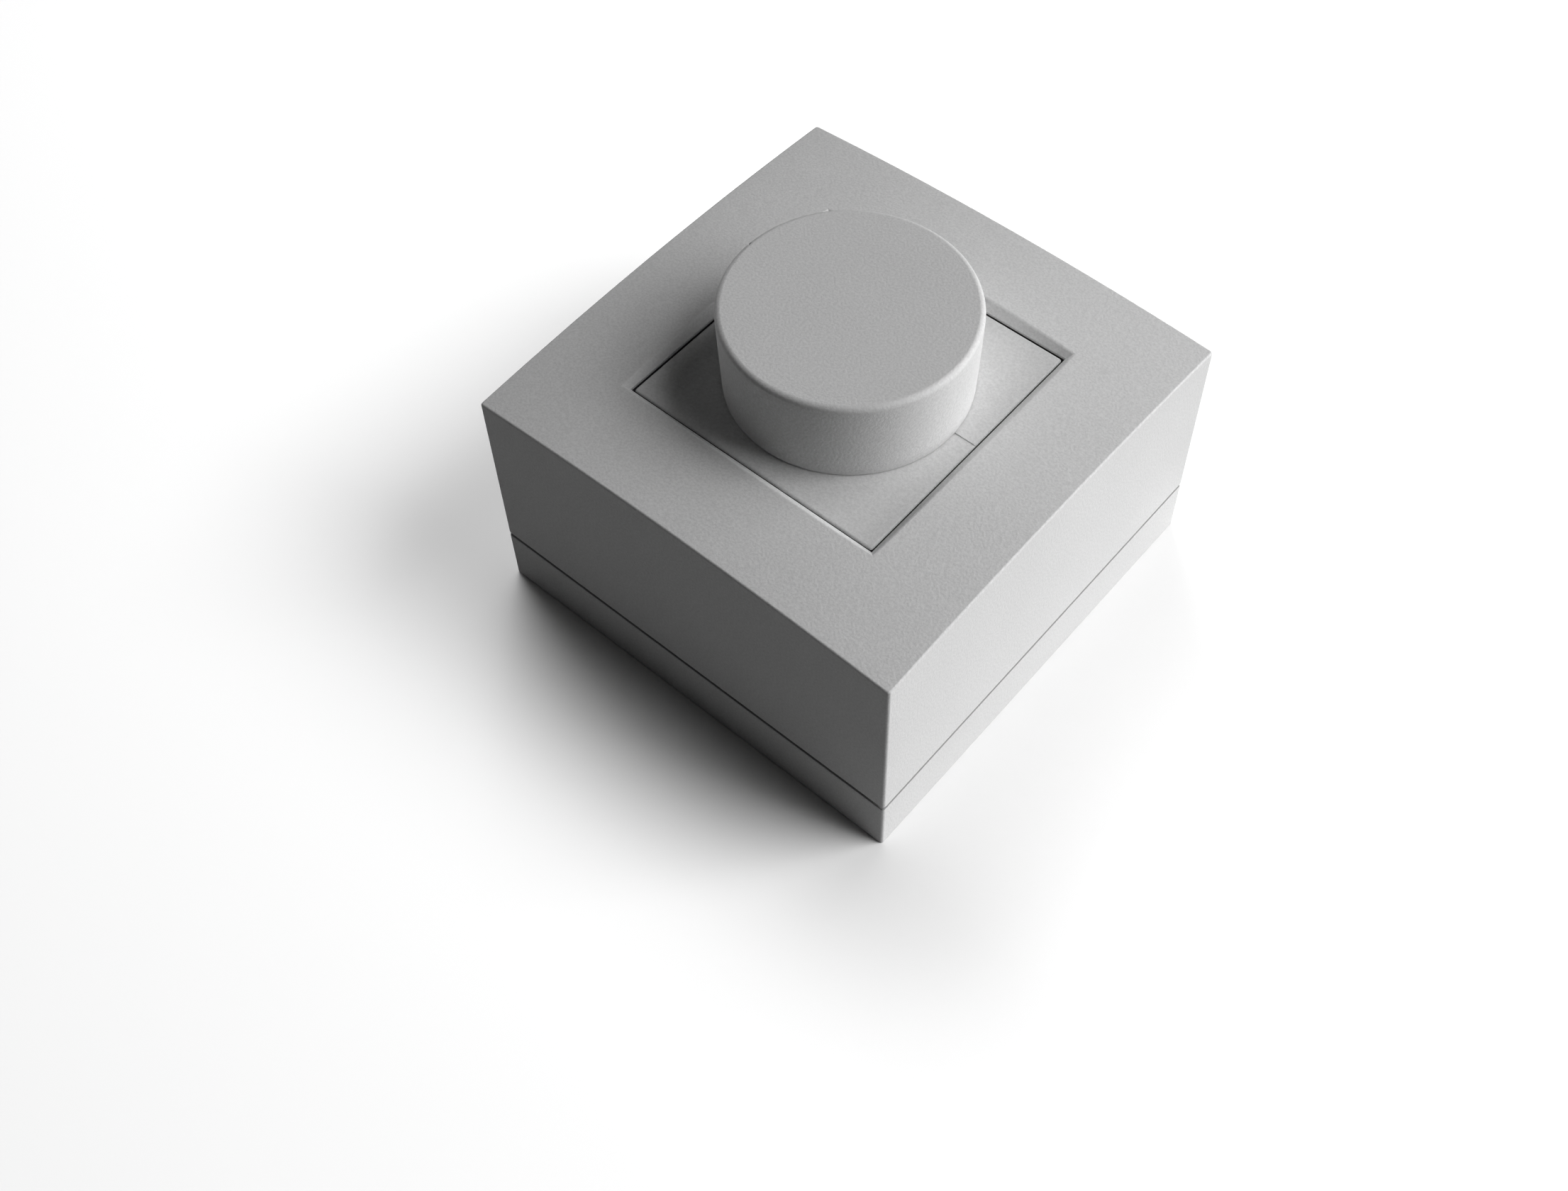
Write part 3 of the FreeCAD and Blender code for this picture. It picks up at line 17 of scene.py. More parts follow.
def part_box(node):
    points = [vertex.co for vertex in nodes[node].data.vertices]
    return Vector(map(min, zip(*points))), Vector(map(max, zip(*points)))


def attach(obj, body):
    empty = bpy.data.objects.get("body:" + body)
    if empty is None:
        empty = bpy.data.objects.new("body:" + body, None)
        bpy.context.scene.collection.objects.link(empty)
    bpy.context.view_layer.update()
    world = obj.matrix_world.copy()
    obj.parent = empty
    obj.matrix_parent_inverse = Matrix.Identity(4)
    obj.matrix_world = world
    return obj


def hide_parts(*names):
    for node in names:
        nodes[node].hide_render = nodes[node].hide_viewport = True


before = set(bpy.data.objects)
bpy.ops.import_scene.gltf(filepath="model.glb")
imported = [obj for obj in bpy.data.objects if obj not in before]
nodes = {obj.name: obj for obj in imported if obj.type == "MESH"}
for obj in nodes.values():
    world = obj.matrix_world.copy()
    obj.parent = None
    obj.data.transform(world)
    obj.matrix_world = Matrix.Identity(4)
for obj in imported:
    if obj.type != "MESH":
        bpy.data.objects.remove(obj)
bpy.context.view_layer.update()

# %% [markdown]
# ## The camera
# The photograph looks down on the near corner, which is the corner of -X and -Y. The camera
# stands where the box's eight corners, the groove over the base and the knob's rim fall on
# the same pixels as in the photograph. The picture is 2211 pixels wide and 1680 high. A long
# lens from further away would be easier to aim but would flatten the box, so the distance is
# as fitted, about a third of a metre.
# The photograph was cut out of a taller one, which a small vertical shift of the lens repeats.

# %% Camera
MM = 0.001
CAMERA_PLACE = (-148.67, -119.73, 271.29)
CAMERA_TURN = (36.628, 1.042, -49.401)
FOCAL_LENGTH = 44.187
LENS_SHIFT = -0.0633
SENSOR_WIDTH = 36.0
CLIP_START = 0.01

scene = bpy.context.scene
lens = bpy.data.cameras.new("camera")
lens.sensor_width = SENSOR_WIDTH
lens.lens = FOCAL_LENGTH
lens.shift_y = LENS_SHIFT
lens.clip_start = CLIP_START
camera = bpy.data.objects.new("camera", lens)
camera.location = Vector(CAMERA_PLACE) * MM
camera.rotation_euler = Euler([math.radians(angle) for angle in CAMERA_TURN], "XYZ")
scene.collection.objects.link(camera)
scene.camera = camera
print("camera distance", round(camera.location.length, 3), "m")

# %% [markdown]
# ## Floor
# The switch lies on a plain pale table. In the photograph the table is pure white up to a
# short soft shadow, but only little of that white comes back onto the dark side of the box, as
# in a studio picture whose ground was lit by itself. So the white floor that the camera sees
# lets bounced light and shadow rays pass, and a darker card right under it sends back as much
# light as the photograph's dark side shows. The card is in the box's shadow close to the box,
# which makes the foot of the dark side darker than its top. A small lighter card beside the
# bright side sends more light to that side's foot.

# %% Stage helpers
def new_object(name, mesh):
    item = bpy.data.objects.new(name, mesh)
    scene.collection.objects.link(item)
    return item


def new_material(name):
    """Material with nothing but a Principled shader; gives the tree and the shader."""
    material = bpy.data.materials.new(name)
    material.use_nodes = True
    return material, material.node_tree, material.node_tree.nodes["Principled BSDF"]


def grey(tone):
    return tone, tone, tone, 1.0


def stage_piece(name, bm, material):
    """Object from a bmesh that belongs to the stage and not to the switch."""
    mesh = bpy.data.meshes.new(name)
    bm.to_mesh(mesh)
    bm.free()
    mesh.materials.append(material)
    item = new_object(name, mesh)
    return item


def hide_from_light(item):
    """Only the camera meets this object: bounced light and shadow rays pass through it."""
    item.visible_diffuse = False
    item.visible_glossy = False
    item.visible_shadow = False


# %% Floor and cards
FLOOR_HALF = (1.5, 1.5)
FLOOR_TONE = 0.80
CARD_LEVEL = -0.0004
CARD_TONE = 0.19
NEAR_CARD_LEVEL = -0.0002
NEAR_CARD_TONE = 0.55
NEAR_CARD_MIDDLE = (-0.005, -0.06)
NEAR_CARD_HALF = (0.055, 0.02)
SHEET_ROUGHNESS = 0.9
SHEET_SPECULAR = 0.2


def flat_sheet(name, level, tone, middle=(0.0, 0.0), half=FLOOR_HALF):
    bm = bmesh.new()
    place = Matrix.Translation((*middle, level)) @ Matrix.Diagonal((*half, 1.0, 1.0))
    bmesh.ops.create_grid(bm, x_segments=1, y_segments=1, size=1.0, matrix=place)
    material, _, shader = new_material(name)
    shader.inputs["Base Color"].default_value = grey(tone)
    shader.inputs["Roughness"].default_value = SHEET_ROUGHNESS
    shader.inputs["Specular IOR Level"].default_value = SHEET_SPECULAR
    return stage_piece(name, bm, material)


floor = flat_sheet("floor", 0.0, FLOOR_TONE)
hide_from_light(floor)
card = flat_sheet("card", CARD_LEVEL, CARD_TONE)
near_card = flat_sheet("near_card", NEAR_CARD_LEVEL, NEAR_CARD_TONE, NEAR_CARD_MIDDLE,
                       NEAR_CARD_HALF)
print("floor and card", 2 * FLOOR_HALF[0], "m wide")

# %% [markdown]
# ## Backdrop
# Seen along the table, the floor would end at a dark sky. A studio has a white wall there,
# and a dome of even white around the stage does that for every direction at once. It is
# bright in itself, and only the camera sees it, so it adds no light to the switch.

# %% Backdrop
BACKDROP_RADIUS = 0.55
BACKDROP_GLOW = 0.9

dome_mesh = bmesh.new()
bmesh.ops.create_uvsphere(dome_mesh, u_segments=64, v_segments=32, radius=BACKDROP_RADIUS)
glow, _, glow_shader = new_material("backdrop")
glow_shader.inputs["Base Color"].default_value = grey(0.0)
glow_shader.inputs["Emission Color"].default_value = grey(1.0)
glow_shader.inputs["Emission Strength"].default_value = BACKDROP_GLOW
hide_from_light(stage_piece("backdrop", dome_mesh, glow))
print("backdrop radius", BACKDROP_RADIUS, "m")

# %% [markdown]
# ## Light
# Light linking gives each lamp its own audience, as flags and screens do in a studio. The
# lamps for the switch are on the right. Two strips stand on the table and make the right side
# the brightest face, and three weaker squares above them light the top. A third strip reaches
# only the side that the photograph doesn't show. The lamps for the table hang high on the
# right, one in front and two behind, so the box's shadow is a short soft one to the left. All
# of them are large and close, which keeps every shadow's edge soft. A weak even sky fills the
# darkest places. A film-like view would turn the white table grey, so the picture is shown
# with the Standard view.

# %% Light
LAMP_AIM = Vector((0.0, 0.0, 0.03))
LAMP_REACH = 0.9
LAMP_SIDE = 0.5
STRIP_HEIGHT = 0.28
SWITCH_LAMPS = (
    ("strip_right", -60.0, 7.0, STRIP_HEIGHT, 3.3),
    ("strip_back", -30.0, 7.0, STRIP_HEIGHT, 1.6),
    ("strip_behind", 85.0, 7.0, STRIP_HEIGHT, 1.2),
    ("middle_right", -60.0, 30.0, LAMP_SIDE, 1.9),
    ("high_right", -60.0, 50.0, LAMP_SIDE, 1.85),
    ("high_back", -30.0, 50.0, LAMP_SIDE, 2.25),
)
TABLE_LAMPS = (
    ("table_front", -60.0, 50.0, LAMP_SIDE, 8.7),
    ("table_back", 60.0, 50.0, LAMP_SIDE, 4.0),
    ("table_top", 45.0, 70.0, LAMP_SIDE, 2.8),
)
SKY_STRENGTH = 0.012


def audience(name, state):
    """Collection for light linking: INCLUDE is the sheets alone, EXCLUDE all but them."""
    group = bpy.data.collections.new(name)
    for sheet in (floor, card, near_card):
        group.objects.link(sheet)
    for member in group.collection_objects:
        member.light_linking.link_state = state
    return group


def area_light(name, turn, rise, height, power, group):
    """Soft light, placed by its angle around Z from +X and its angle above the table."""
    lamp = bpy.data.lights.new(name, "AREA")
    lamp.shape = "RECTANGLE"
    lamp.size = LAMP_SIDE
    lamp.size_y = height
    lamp.energy = power
    light = bpy.data.objects.new(name, lamp)
    toward = Euler((0.0, math.radians(-rise), math.radians(turn)), "XYZ").to_matrix()
    light.location = LAMP_AIM + toward @ Vector((LAMP_REACH, 0.0, 0.0))
    light.rotation_euler = (LAMP_AIM - light.location).to_track_quat("-Z", "Y").to_euler()
    light.light_linking.receiver_collection = group
    scene.collection.objects.link(light)
    return light


for lamps, group in (
    (SWITCH_LAMPS, audience("all_but_sheets", "EXCLUDE")),
    (TABLE_LAMPS, audience("sheets_alone", "INCLUDE")),
):
    for name, turn, rise, height, power in lamps:
        lamp = area_light(name, turn, rise, height, power, group)
        print(lamp.name, [round(value, 2) for value in lamp.location], "m", power, "W")
sky = bpy.data.worlds.new("sky")
sky.use_nodes = True
sky.node_tree.nodes["Background"].inputs["Color"].default_value = grey(1.0)
sky.node_tree.nodes["Background"].inputs["Strength"].default_value = SKY_STRENGTH
scene.world = sky
scene.view_settings.view_transform = "Standard"
print("sky", SKY_STRENGTH, "view", scene.view_settings.view_transform)

# %% [markdown]
# ## Moulded plastic
# Cover, plate and knob are moulded in one light grey plastic. Its mould was spark-eroded, so
# the surface has a very fine even grain that takes the gloss away. The grain is a bump from
# noise of about four tenths of a millimetre. The same noise also makes the colour a touch
# darker in its hollows than on its tips: partly a random tone grain, partly painted shade of
# the hollows. A slower noise makes the tone and the gloss drift a little, as on any large
# moulding. A picture of such a surface would have to be unwrapped and would show its pixels
# close up. Noise on Object coordinates needs neither, and it stays on the piece when the knob
# turns.


# %% Node helpers
NOISE_LOW = 0.3
NOISE_HIGH = 0.7
FINE_DETAIL = 2.0
RICH_DETAIL = 3.0


def object_noise(tree, size, detail):
    """Noise with spots of about that size in millimetres, fixed to the piece."""
    place = tree.nodes.new("ShaderNodeTexCoord")
    noise = tree.nodes.new("ShaderNodeTexNoise")
    noise.inputs["Scale"].default_value = 1.0 / (size * MM)
    noise.inputs["Detail"].default_value = detail
    tree.links.new(place.outputs["Object"], noise.inputs["Vector"])
    return noise.outputs["Fac"]


def spread(tree, value, low, high):
    """Bring a noise's middle range to run from low to high."""
    stretch = tree.nodes.new("ShaderNodeMapRange")
    stretch.inputs["From Min"].default_value = NOISE_LOW
    stretch.inputs["From Max"].default_value = NOISE_HIGH
    stretch.inputs["To Min"].default_value = low
    stretch.inputs["To Max"].default_value = high
    tree.links.new(value, stretch.inputs["Value"])
    return stretch.outputs["Result"]


def tint(tree, shader, factor, first, second):
    """Base colour that goes from first to second with factor."""
    mix = tree.nodes.new("ShaderNodeMix")
    mix.data_type = "RGBA"
    mix.inputs["A"].default_value = (*first, 1.0)
    mix.inputs["B"].default_value = (*second, 1.0)
    tree.links.new(factor, mix.inputs["Factor"])
    tree.links.new(mix.outputs["Result"], shader.inputs["Base Color"])


def emboss(tree, shader, height, depth, strength):
    """Bump of that depth in millimetres."""
    bump = tree.nodes.new("ShaderNodeBump")
    bump.inputs["Distance"].default_value = depth * MM
    bump.inputs["Strength"].default_value = strength
    tree.links.new(height, bump.inputs["Height"])
    tree.links.new(bump.outputs["Normal"], shader.inputs["Normal"])


# %% [markdown]
# ## Painted shade in narrow places
# Hardly any light comes back out of the gap around the centre plate and the groove over the
# base, so both look like dark lines. That shade is painted: two darker tones in the case's
# plastic, chosen by place alone, paint it in and keep both dark from all sides, whatever the
# light does. Each place is a band: the gap between two squares and two heights, the groove
# between two heights, with the sizes in millimetres from the knob's axis and from the wall.
# Painted vertices could do the same, but only as finely as the mesh is divided.

# %% Painted shade in the gap and groove
GAP_FROM_AXIS = 23.45
GAP_HALF_WIDTH = 0.6
GAP_LEVEL = 44.25
GAP_HALF_HEIGHT = 1.2
# Painted shade: the gap's near-black tone stands in for the shade inside it.
GAP_SHADE_TONE = 0.06
GROOVE_LEVEL = 11.24
GROOVE_HALF_HEIGHT = 0.44
# Painted shade: the groove's grey tone stands in for the shade inside it.
GROOVE_SHADE_TONE = 0.33


def calculate(tree, operation, first, second=None, third=None):
    """Math node; its inputs are outputs of other nodes or plain numbers."""
    node = tree.nodes.new("ShaderNodeMath")
    node.operation = operation
    for place, value in enumerate((first, second, third)):
        if isinstance(value, float):
            node.inputs[place].default_value = value
        elif value is not None:
            tree.links.new(value, node.inputs[place])
    return node.outputs["Value"]


def painted_shade_places(tree):
    """Two factors for painted shade: 1 in the gap around the plate, and 1 in the groove over
    the base.
    """
    place = tree.nodes.new("ShaderNodeTexCoord")
    split = tree.nodes.new("ShaderNodeSeparateXYZ")
    tree.links.new(place.outputs["Object"], split.inputs["Vector"])
    level = split.outputs["Z"]
    across = calculate(tree, "ABSOLUTE", split.outputs["X"])
    along = calculate(tree, "ABSOLUTE", split.outputs["Y"])
    reach = calculate(tree, "MAXIMUM", across, along)
    near = calculate(tree, "COMPARE", reach, GAP_FROM_AXIS * MM, GAP_HALF_WIDTH * MM)
    low = calculate(tree, "COMPARE", level, GAP_LEVEL * MM, GAP_HALF_HEIGHT * MM)
    groove = calculate(tree, "COMPARE", level, GROOVE_LEVEL * MM, GROOVE_HALF_HEIGHT * MM)
    return calculate(tree, "MULTIPLY", near, low), groove


def paint_shade(tree, shader, factor, tone):
    """Paint shade: lay a grey tone over the colour where factor is 1."""
    mix = tree.nodes.new("ShaderNodeMix")
    mix.data_type = "RGBA"
    mix.inputs["B"].default_value = grey(tone)
    tree.links.new(shader.inputs["Base Color"].links[0].from_socket, mix.inputs["A"])
    tree.links.new(factor, mix.inputs["Factor"])
    tree.links.new(mix.outputs["Result"], shader.inputs["Base Color"])


# %% Plastics
TONE_RANGE = 0.14
DRIFT_SIZE = 14.0
DRIFT_LOW = 0.2
DRIFT_HIGH = 0.3
# Share of the grain in the tint: partly random tone, partly painted shade in the hollows.
GRAIN_SHADE_SHARE = 0.5
GLOSS_SIZE = 5.0
GLOSS_RANGE = 0.04
PLASTIC_SPECULAR = 0.4
LIGHT_GREY = (0.72, 0.72, 0.72)
DEEP_BLACK = (0.035, 0.035, 0.037)
NATURAL = (0.62, 0.60, 0.54)


def moulded_plastic(name, tone, roughness, grain_size, grain_depth):
    """Matt moulding: fine grain with painted shade in its hollows, a tone drifting a few
    percent, drifting gloss.
    """
    material, tree, shader = new_material(name)
    darker = [channel * (1.0 - TONE_RANGE) for channel in tone]
    lighter = [min(1.0, channel * (1.0 + TONE_RANGE)) for channel in tone]
    grain = object_noise(tree, grain_size, FINE_DETAIL)
    drift = spread(tree, object_noise(tree, DRIFT_SIZE, RICH_DETAIL), DRIFT_LOW, DRIFT_HIGH)
    # Painted shade: the grain noise also darkens the colour in the bump's hollows.
    both = calculate(tree, "ADD", drift, spread(tree, grain, 0.0, GRAIN_SHADE_SHARE))
    tint(tree, shader, both, darker, lighter)
    gloss = spread(tree, object_noise(tree, GLOSS_SIZE, FINE_DETAIL),
                   roughness - GLOSS_RANGE, roughness + GLOSS_RANGE)
    tree.links.new(gloss, shader.inputs["Roughness"])
    emboss(tree, shader, grain, grain_depth, 1.0)
    shader.inputs["Specular IOR Level"].default_value = PLASTIC_SPECULAR
    return material


case_plastic = moulded_plastic("case_plastic", LIGHT_GREY, 0.55, 0.40, 0.045)
knob_plastic = moulded_plastic("knob_plastic", LIGHT_GREY, 0.50, 0.40, 0.045)
plastics = {
    "case_plastic": case_plastic,
    "knob_plastic": knob_plastic,
    "dark_plastic": moulded_plastic("dark_plastic", DEEP_BLACK, 0.45, 0.30, 0.02),
    "rotor_plastic": moulded_plastic("rotor_plastic", NATURAL, 0.40, 0.40, 0.01),
}
case_tree = case_plastic.node_tree
# Paint the shade of the gap and the groove into the case plastic's colour.
for factor, tone in zip(painted_shade_places(case_tree), (GAP_SHADE_TONE, GROOVE_SHADE_TONE)):
    paint_shade(case_tree, case_tree.nodes["Principled BSDF"], factor, tone)
print("plastics", len(plastics))

# %% [markdown]
# ## Metals
# The bracket and the screws are zinc-plated steel, the detent strips are plain spring steel,
# and the contacts, their clamps and the bush are brass. Sheet metal is rolled, so its gloss
# has fine streaks in one direction: the same noise, drawn out along the rolling direction. An
# anisotropic shader would stretch the highlights as well, but such small pieces don't need it.


# %% Metal finish
STREAK_WIDTH = 0.4
METAL_DRIFT_SIZE = 6.0
METAL_DARKER = 0.88
METAL_GLOSS_BELOW = 0.06
METAL_GLOSS_ABOVE = 0.08
STREAK_DEPTH = 0.005
STREAK_STRENGTH = 0.6


def rolled_metal(name, tone, roughness, streak):
    """Metal with streaked gloss; streak stretches the noise along X."""
    material, tree, shader = new_material(name)
    shader.inputs["Metallic"].default_value = 1.0
    place = tree.nodes.new("ShaderNodeTexCoord")
    stretch = tree.nodes.new("ShaderNodeMapping")
    stretch.inputs["Scale"].default_value = (1.0 / streak, 1.0, 1.0)
    noise = tree.nodes.new("ShaderNodeTexNoise")
    noise.inputs["Scale"].default_value = 1.0 / (STREAK_WIDTH * MM)
    noise.inputs["Detail"].default_value = RICH_DETAIL
    tree.links.new(place.outputs["Object"], stretch.inputs["Vector"])
    tree.links.new(stretch.outputs["Vector"], noise.inputs["Vector"])
    gloss = spread(tree, noise.outputs["Fac"],
                   roughness - METAL_GLOSS_BELOW, roughness + METAL_GLOSS_ABOVE)
    tree.links.new(gloss, shader.inputs["Roughness"])
    darker = [channel * METAL_DARKER for channel in tone]
    drift = spread(tree, object_noise(tree, METAL_DRIFT_SIZE, RICH_DETAIL), 0.0, 1.0)
    tint(tree, shader, drift, darker, tone)
    emboss(tree, shader, noise.outputs["Fac"], STREAK_DEPTH, STREAK_STRENGTH)
    return material


metals = {
    "zinc_steel": rolled_metal("zinc_steel", (0.62, 0.63, 0.66), 0.34, 12.0),
    "spring_steel": rolled_metal("spring_steel", (0.48, 0.48, 0.49), 0.28, 20.0),
    "contact_brass": rolled_metal("contact_brass", (0.80, 0.60, 0.30), 0.28, 8.0),
    "bush_brass": rolled_metal("bush_brass", (0.74, 0.68, 0.52), 0.25, 1.0),
}
print("metals", len(metals))

# %% [markdown]
# ## From a bmesh to a piece
# Every new piece is built in millimetres, closed, turned the right way out and only then
# brought to metres. Its faces are smooth, its hard edges stay sharp, and the Weighted Normal
# modifier lets the large flat faces win over the narrow rounded ones beside them. Flat shading
# would show every strip of a rounded edge, and plain smooth shading would bend the flat faces.

# %% Finish a piece
SHARP_ANGLE = math.radians(35.0)
SAME_POINT = 0.001
CLOSE = 0.01
FLAT_FACE_WEIGHT = 80


def finish_piece(bm, name, material):
    """Turn a bmesh in millimetres into a finished piece in the row frame."""
    bmesh.ops.remove_doubles(bm, verts=bm.verts, dist=SAME_POINT)
    bmesh.ops.recalc_face_normals(bm, faces=bm.faces)
    bmesh.ops.scale(bm, vec=(MM, MM, MM), verts=bm.verts)
    for face in bm.faces:
        face.smooth = True
    open_edges = sum(1 for edge in bm.edges if len(edge.link_faces) != 2)
    mesh = bpy.data.meshes.new(name)
    bm.to_mesh(mesh)
    bm.free()
    mesh.set_sharp_from_angle(angle=SHARP_ANGLE)
    mesh.materials.append(material)
    piece = new_object(name, mesh)
    even = piece.modifiers.new("even_shading", "WEIGHTED_NORMAL")
    even.keep_sharp = True
    even.weight = FLAT_FACE_WEIGHT
    print(name, "faces", len(mesh.polygons), "open edges", open_edges)
    return piece


def bevel_edges(bm, edges, radius, segments):
    bmesh.ops.bevel(bm, geom=edges, offset=radius, segments=segments, profile=0.5,
                    affect="EDGES", material=-1)


def edges_where(bm, wanted):
    """Edges whose two ends both pass a test of their place."""
    return [edge for edge in bm.edges if all(wanted(vert.co) for vert in edge.verts)]


def close_to(value, target):
    return abs(value - target) < CLOSE


# %% [markdown]
# ## The cover
# The cover is a tall square cap with a face that is very slightly domed, a square window
# with a bevel that runs down to the centre plate, and a ledge under it that carries the
# plate. It could be a cube with Boolean cuts, but the dome would then have long thin faces.
# Here it is a chain of square loops, each with the same number of points, bridged one to the
# next: up the outside, over the dome to the window, down the bevel, around the ledge and
# back along the inside. The sphere that gives the dome comes from its rise along an edge.

# %% Cover sizes
box_low, box_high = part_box("cover_frame")
HALF_SIDE = box_high.x / MM
COVER_FOOT = box_low.z / MM
CORNER_HEIGHT = 45.0
EDGE_RISE = 1.5
COVER_WALL = 2.0
EDGE_ROUND = 0.5
RIM_ROUND = 0.35
DOME_RADIUS = HALF_SIDE ** 2 / (2.0 * EDGE_RISE)
DOME_CENTRE = CORNER_HEIGHT - math.sqrt(DOME_RADIUS ** 2 - 2.0 * HALF_SIDE ** 2)

plate_low, plate_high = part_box("centre_plate")
PLATE_HALF = plate_high.x / MM
PLATE_TOP = plate_high.z / MM
PLATE_GAP = 0.35
PLATE_EDGE = 2.0
THROAT_HALF = PLATE_HALF + PLATE_GAP
BEVEL_LIFT = 0.1
BEVEL_FOOT = PLATE_TOP + BEVEL_LIFT
BEVEL_SLOPE = 2.5 / 3.0
WINDOW_ROUND = 0.3
LEDGE_TOP = PLATE_TOP - PLATE_EDGE
LEDGE_WIDTH = 1.5
LEDGE_THICKNESS = 1.5
LEDGE_FOOT = LEDGE_TOP - LEDGE_THICKNESS
COLLAR_WALL = 1.8
SIDE_STEPS = 24
print("dome radius", round(DOME_RADIUS, 1), "mm, throat", round(2 * THROAT_HALF, 2), "mm")


# %% Square loops
def dome(x, y, inset=0.0):
    """Height of the domed face, or of the sphere that lies inset under it."""
    return DOME_CENTRE + math.sqrt((DOME_RADIUS - inset) ** 2 - x * x - y * y)


def square_loop(bm, half, height, bulge=None):
    """Loop of edges around a square. height is a number or a function of x and y, and bulge
    gives how far out the side lies at a point of it."""
    before = set(bm.edges)
    turn = Matrix.Rotation(math.radians(45.0), 4, "Z")
    bmesh.ops.create_circle(bm, segments=4, radius=half * math.sqrt(2.0), matrix=turn)
    sides = [edge for edge in bm.edges if edge not in before]
    bmesh.ops.subdivide_edges(bm, edges=sides, cuts=SIDE_STEPS - 1)
    loop = [edge for edge in bm.edges if edge not in before]
    for vert in {vert for edge in loop for vert in edge.verts}:
        if bulge:
            vert.co.xy = bulge(vert.co.x, vert.co.y)
        vert.co.z = height(vert.co.x, vert.co.y) if callable(height) else height
    return loop


def bridge_chain(bm, loops):
    """Join each loop to the next by a row of faces, and the last to the first."""
    for loop, follower in zip(loops, loops[1:] + loops[:1]):
        bmesh.ops.bridge_loops(bm, edges=loop + follower)


# %% Window's rim
RIM_ROUNDS = 8


def rim_reach(along=None):
    """Where the bevel's plane meets the dome, for a point that far along the side, or at the
    window's corner without one. Each round comes closer to it."""
    reach = THROAT_HALF
    for _ in range(RIM_ROUNDS):
        height = dome(reach, reach if along is None else along)
        reach = THROAT_HALF + BEVEL_SLOPE * (height - BEVEL_FOOT)
    return reach


RIM_CORNER = rim_reach()
print("window rim from the axis", round(rim_reach(0.0), 3), "to", round(RIM_CORNER, 3), "mm")


def between_rims(share):
    """Function that moves the points of a square of half side 1, from the box's rim at share
    0 to the window's rim at share 1."""
    def place(x, y):
        outer = Vector((x, y)) * HALF_SIDE
        along = (y if abs(x) > abs(y) else x) * RIM_CORNER
        reach = rim_reach(along)
        inner = Vector((math.copysign(reach, x), along))
        if abs(y) >= abs(x):
            inner = Vector((along, math.copysign(reach, y)))
        if close_to(abs(x), abs(y)):
            inner = Vector((x, y)) * RIM_CORNER
        return outer.lerp(inner, share)
    return place


# %% Cover's loops
DOME_RINGS = 5
COLLAR_HALF = THROAT_HALF + COLLAR_WALL
INSIDE_HALF = HALF_SIDE - COVER_WALL


def inner_dome(x, y):
    return dome(x, y, COVER_WALL)


cover_mesh = bmesh.new()
cover_loops = [square_loop(cover_mesh, HALF_SIDE, COVER_FOOT)]
for ring in range(DOME_RINGS + 1):
    cover_loops.append(square_loop(cover_mesh, 1.0, dome, between_rims(ring / DOME_RINGS)))
for half, level in (
    (THROAT_HALF, BEVEL_FOOT),
    (THROAT_HALF, LEDGE_TOP),
    (THROAT_HALF - LEDGE_WIDTH, LEDGE_TOP),
    (THROAT_HALF - LEDGE_WIDTH, LEDGE_FOOT),
    (COLLAR_HALF, LEDGE_FOOT),
    (COLLAR_HALF, inner_dome),
    ((COLLAR_HALF + INSIDE_HALF) / 2, inner_dome),
    (INSIDE_HALF, inner_dome),
    (INSIDE_HALF, COVER_FOOT),
):
    cover_loops.append(square_loop(cover_mesh, half, level))
bridge_chain(cover_mesh, cover_loops)
print("cover loops", len(cover_loops))


# %% Cover's rounded edges
ROUND_SEGMENTS = 4
WINDOW_SEGMENTS = 3
LEVEL_SLACK = 0.05
CORNER_SLACK = 0.02


def at_box_corner(place):
    return close_to(abs(place.x), HALF_SIDE) and close_to(abs(place.y), HALF_SIDE)


def on_box_rim(place):
    """Whether a point is on the outline with rounded corners, at the height of the face."""
    past = [max(abs(value) - (HALF_SIDE - EDGE_ROUND), 0.0) for value in place.xy]
    return close_to(math.hypot(*past), EDGE_ROUND) and place.z > CORNER_HEIGHT - LEVEL_SLACK


def on_window_rim(place):
    low, high = sorted((abs(place.x), abs(place.y)))
    reach = rim_reach(low) if high - low > CORNER_SLACK else RIM_CORNER
    return close_to(high, reach) and close_to(place.z, dome(place.x, place.y))


bevel_edges(cover_mesh, edges_where(cover_mesh, at_box_corner), EDGE_ROUND, ROUND_SEGMENTS)
rim_edges = edges_where(cover_mesh, on_box_rim)
print("box rim edges", len(rim_edges))
bevel_edges(cover_mesh, rim_edges, RIM_ROUND, ROUND_SEGMENTS)
window_edges = edges_where(cover_mesh, on_window_rim)
print("window rim edges", len(window_edges))
bevel_edges(cover_mesh, window_edges, WINDOW_ROUND, WINDOW_SEGMENTS)
cover = finish_piece(cover_mesh, "cover", case_plastic)
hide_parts("cover_frame")
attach(cover, "switch_box")

# %% [markdown]
# ## The centre plate
# The plate fills the window. A round well in its middle, hidden under the knob, takes the nut,
# and a short index groove at the lower side marks the speed. Round and square loops with the
# same number of points, one for each direction, are bridged, so the square's corners fall on
# points. Four cuts mark the groove's outline. The faces inside it are sunk and drawn together,
# which leaves the groove's sides sloping as the photograph's soft grey band shows them. A
# Boolean would cut the groove in one step, but it can leave slivers beside a rounded edge.

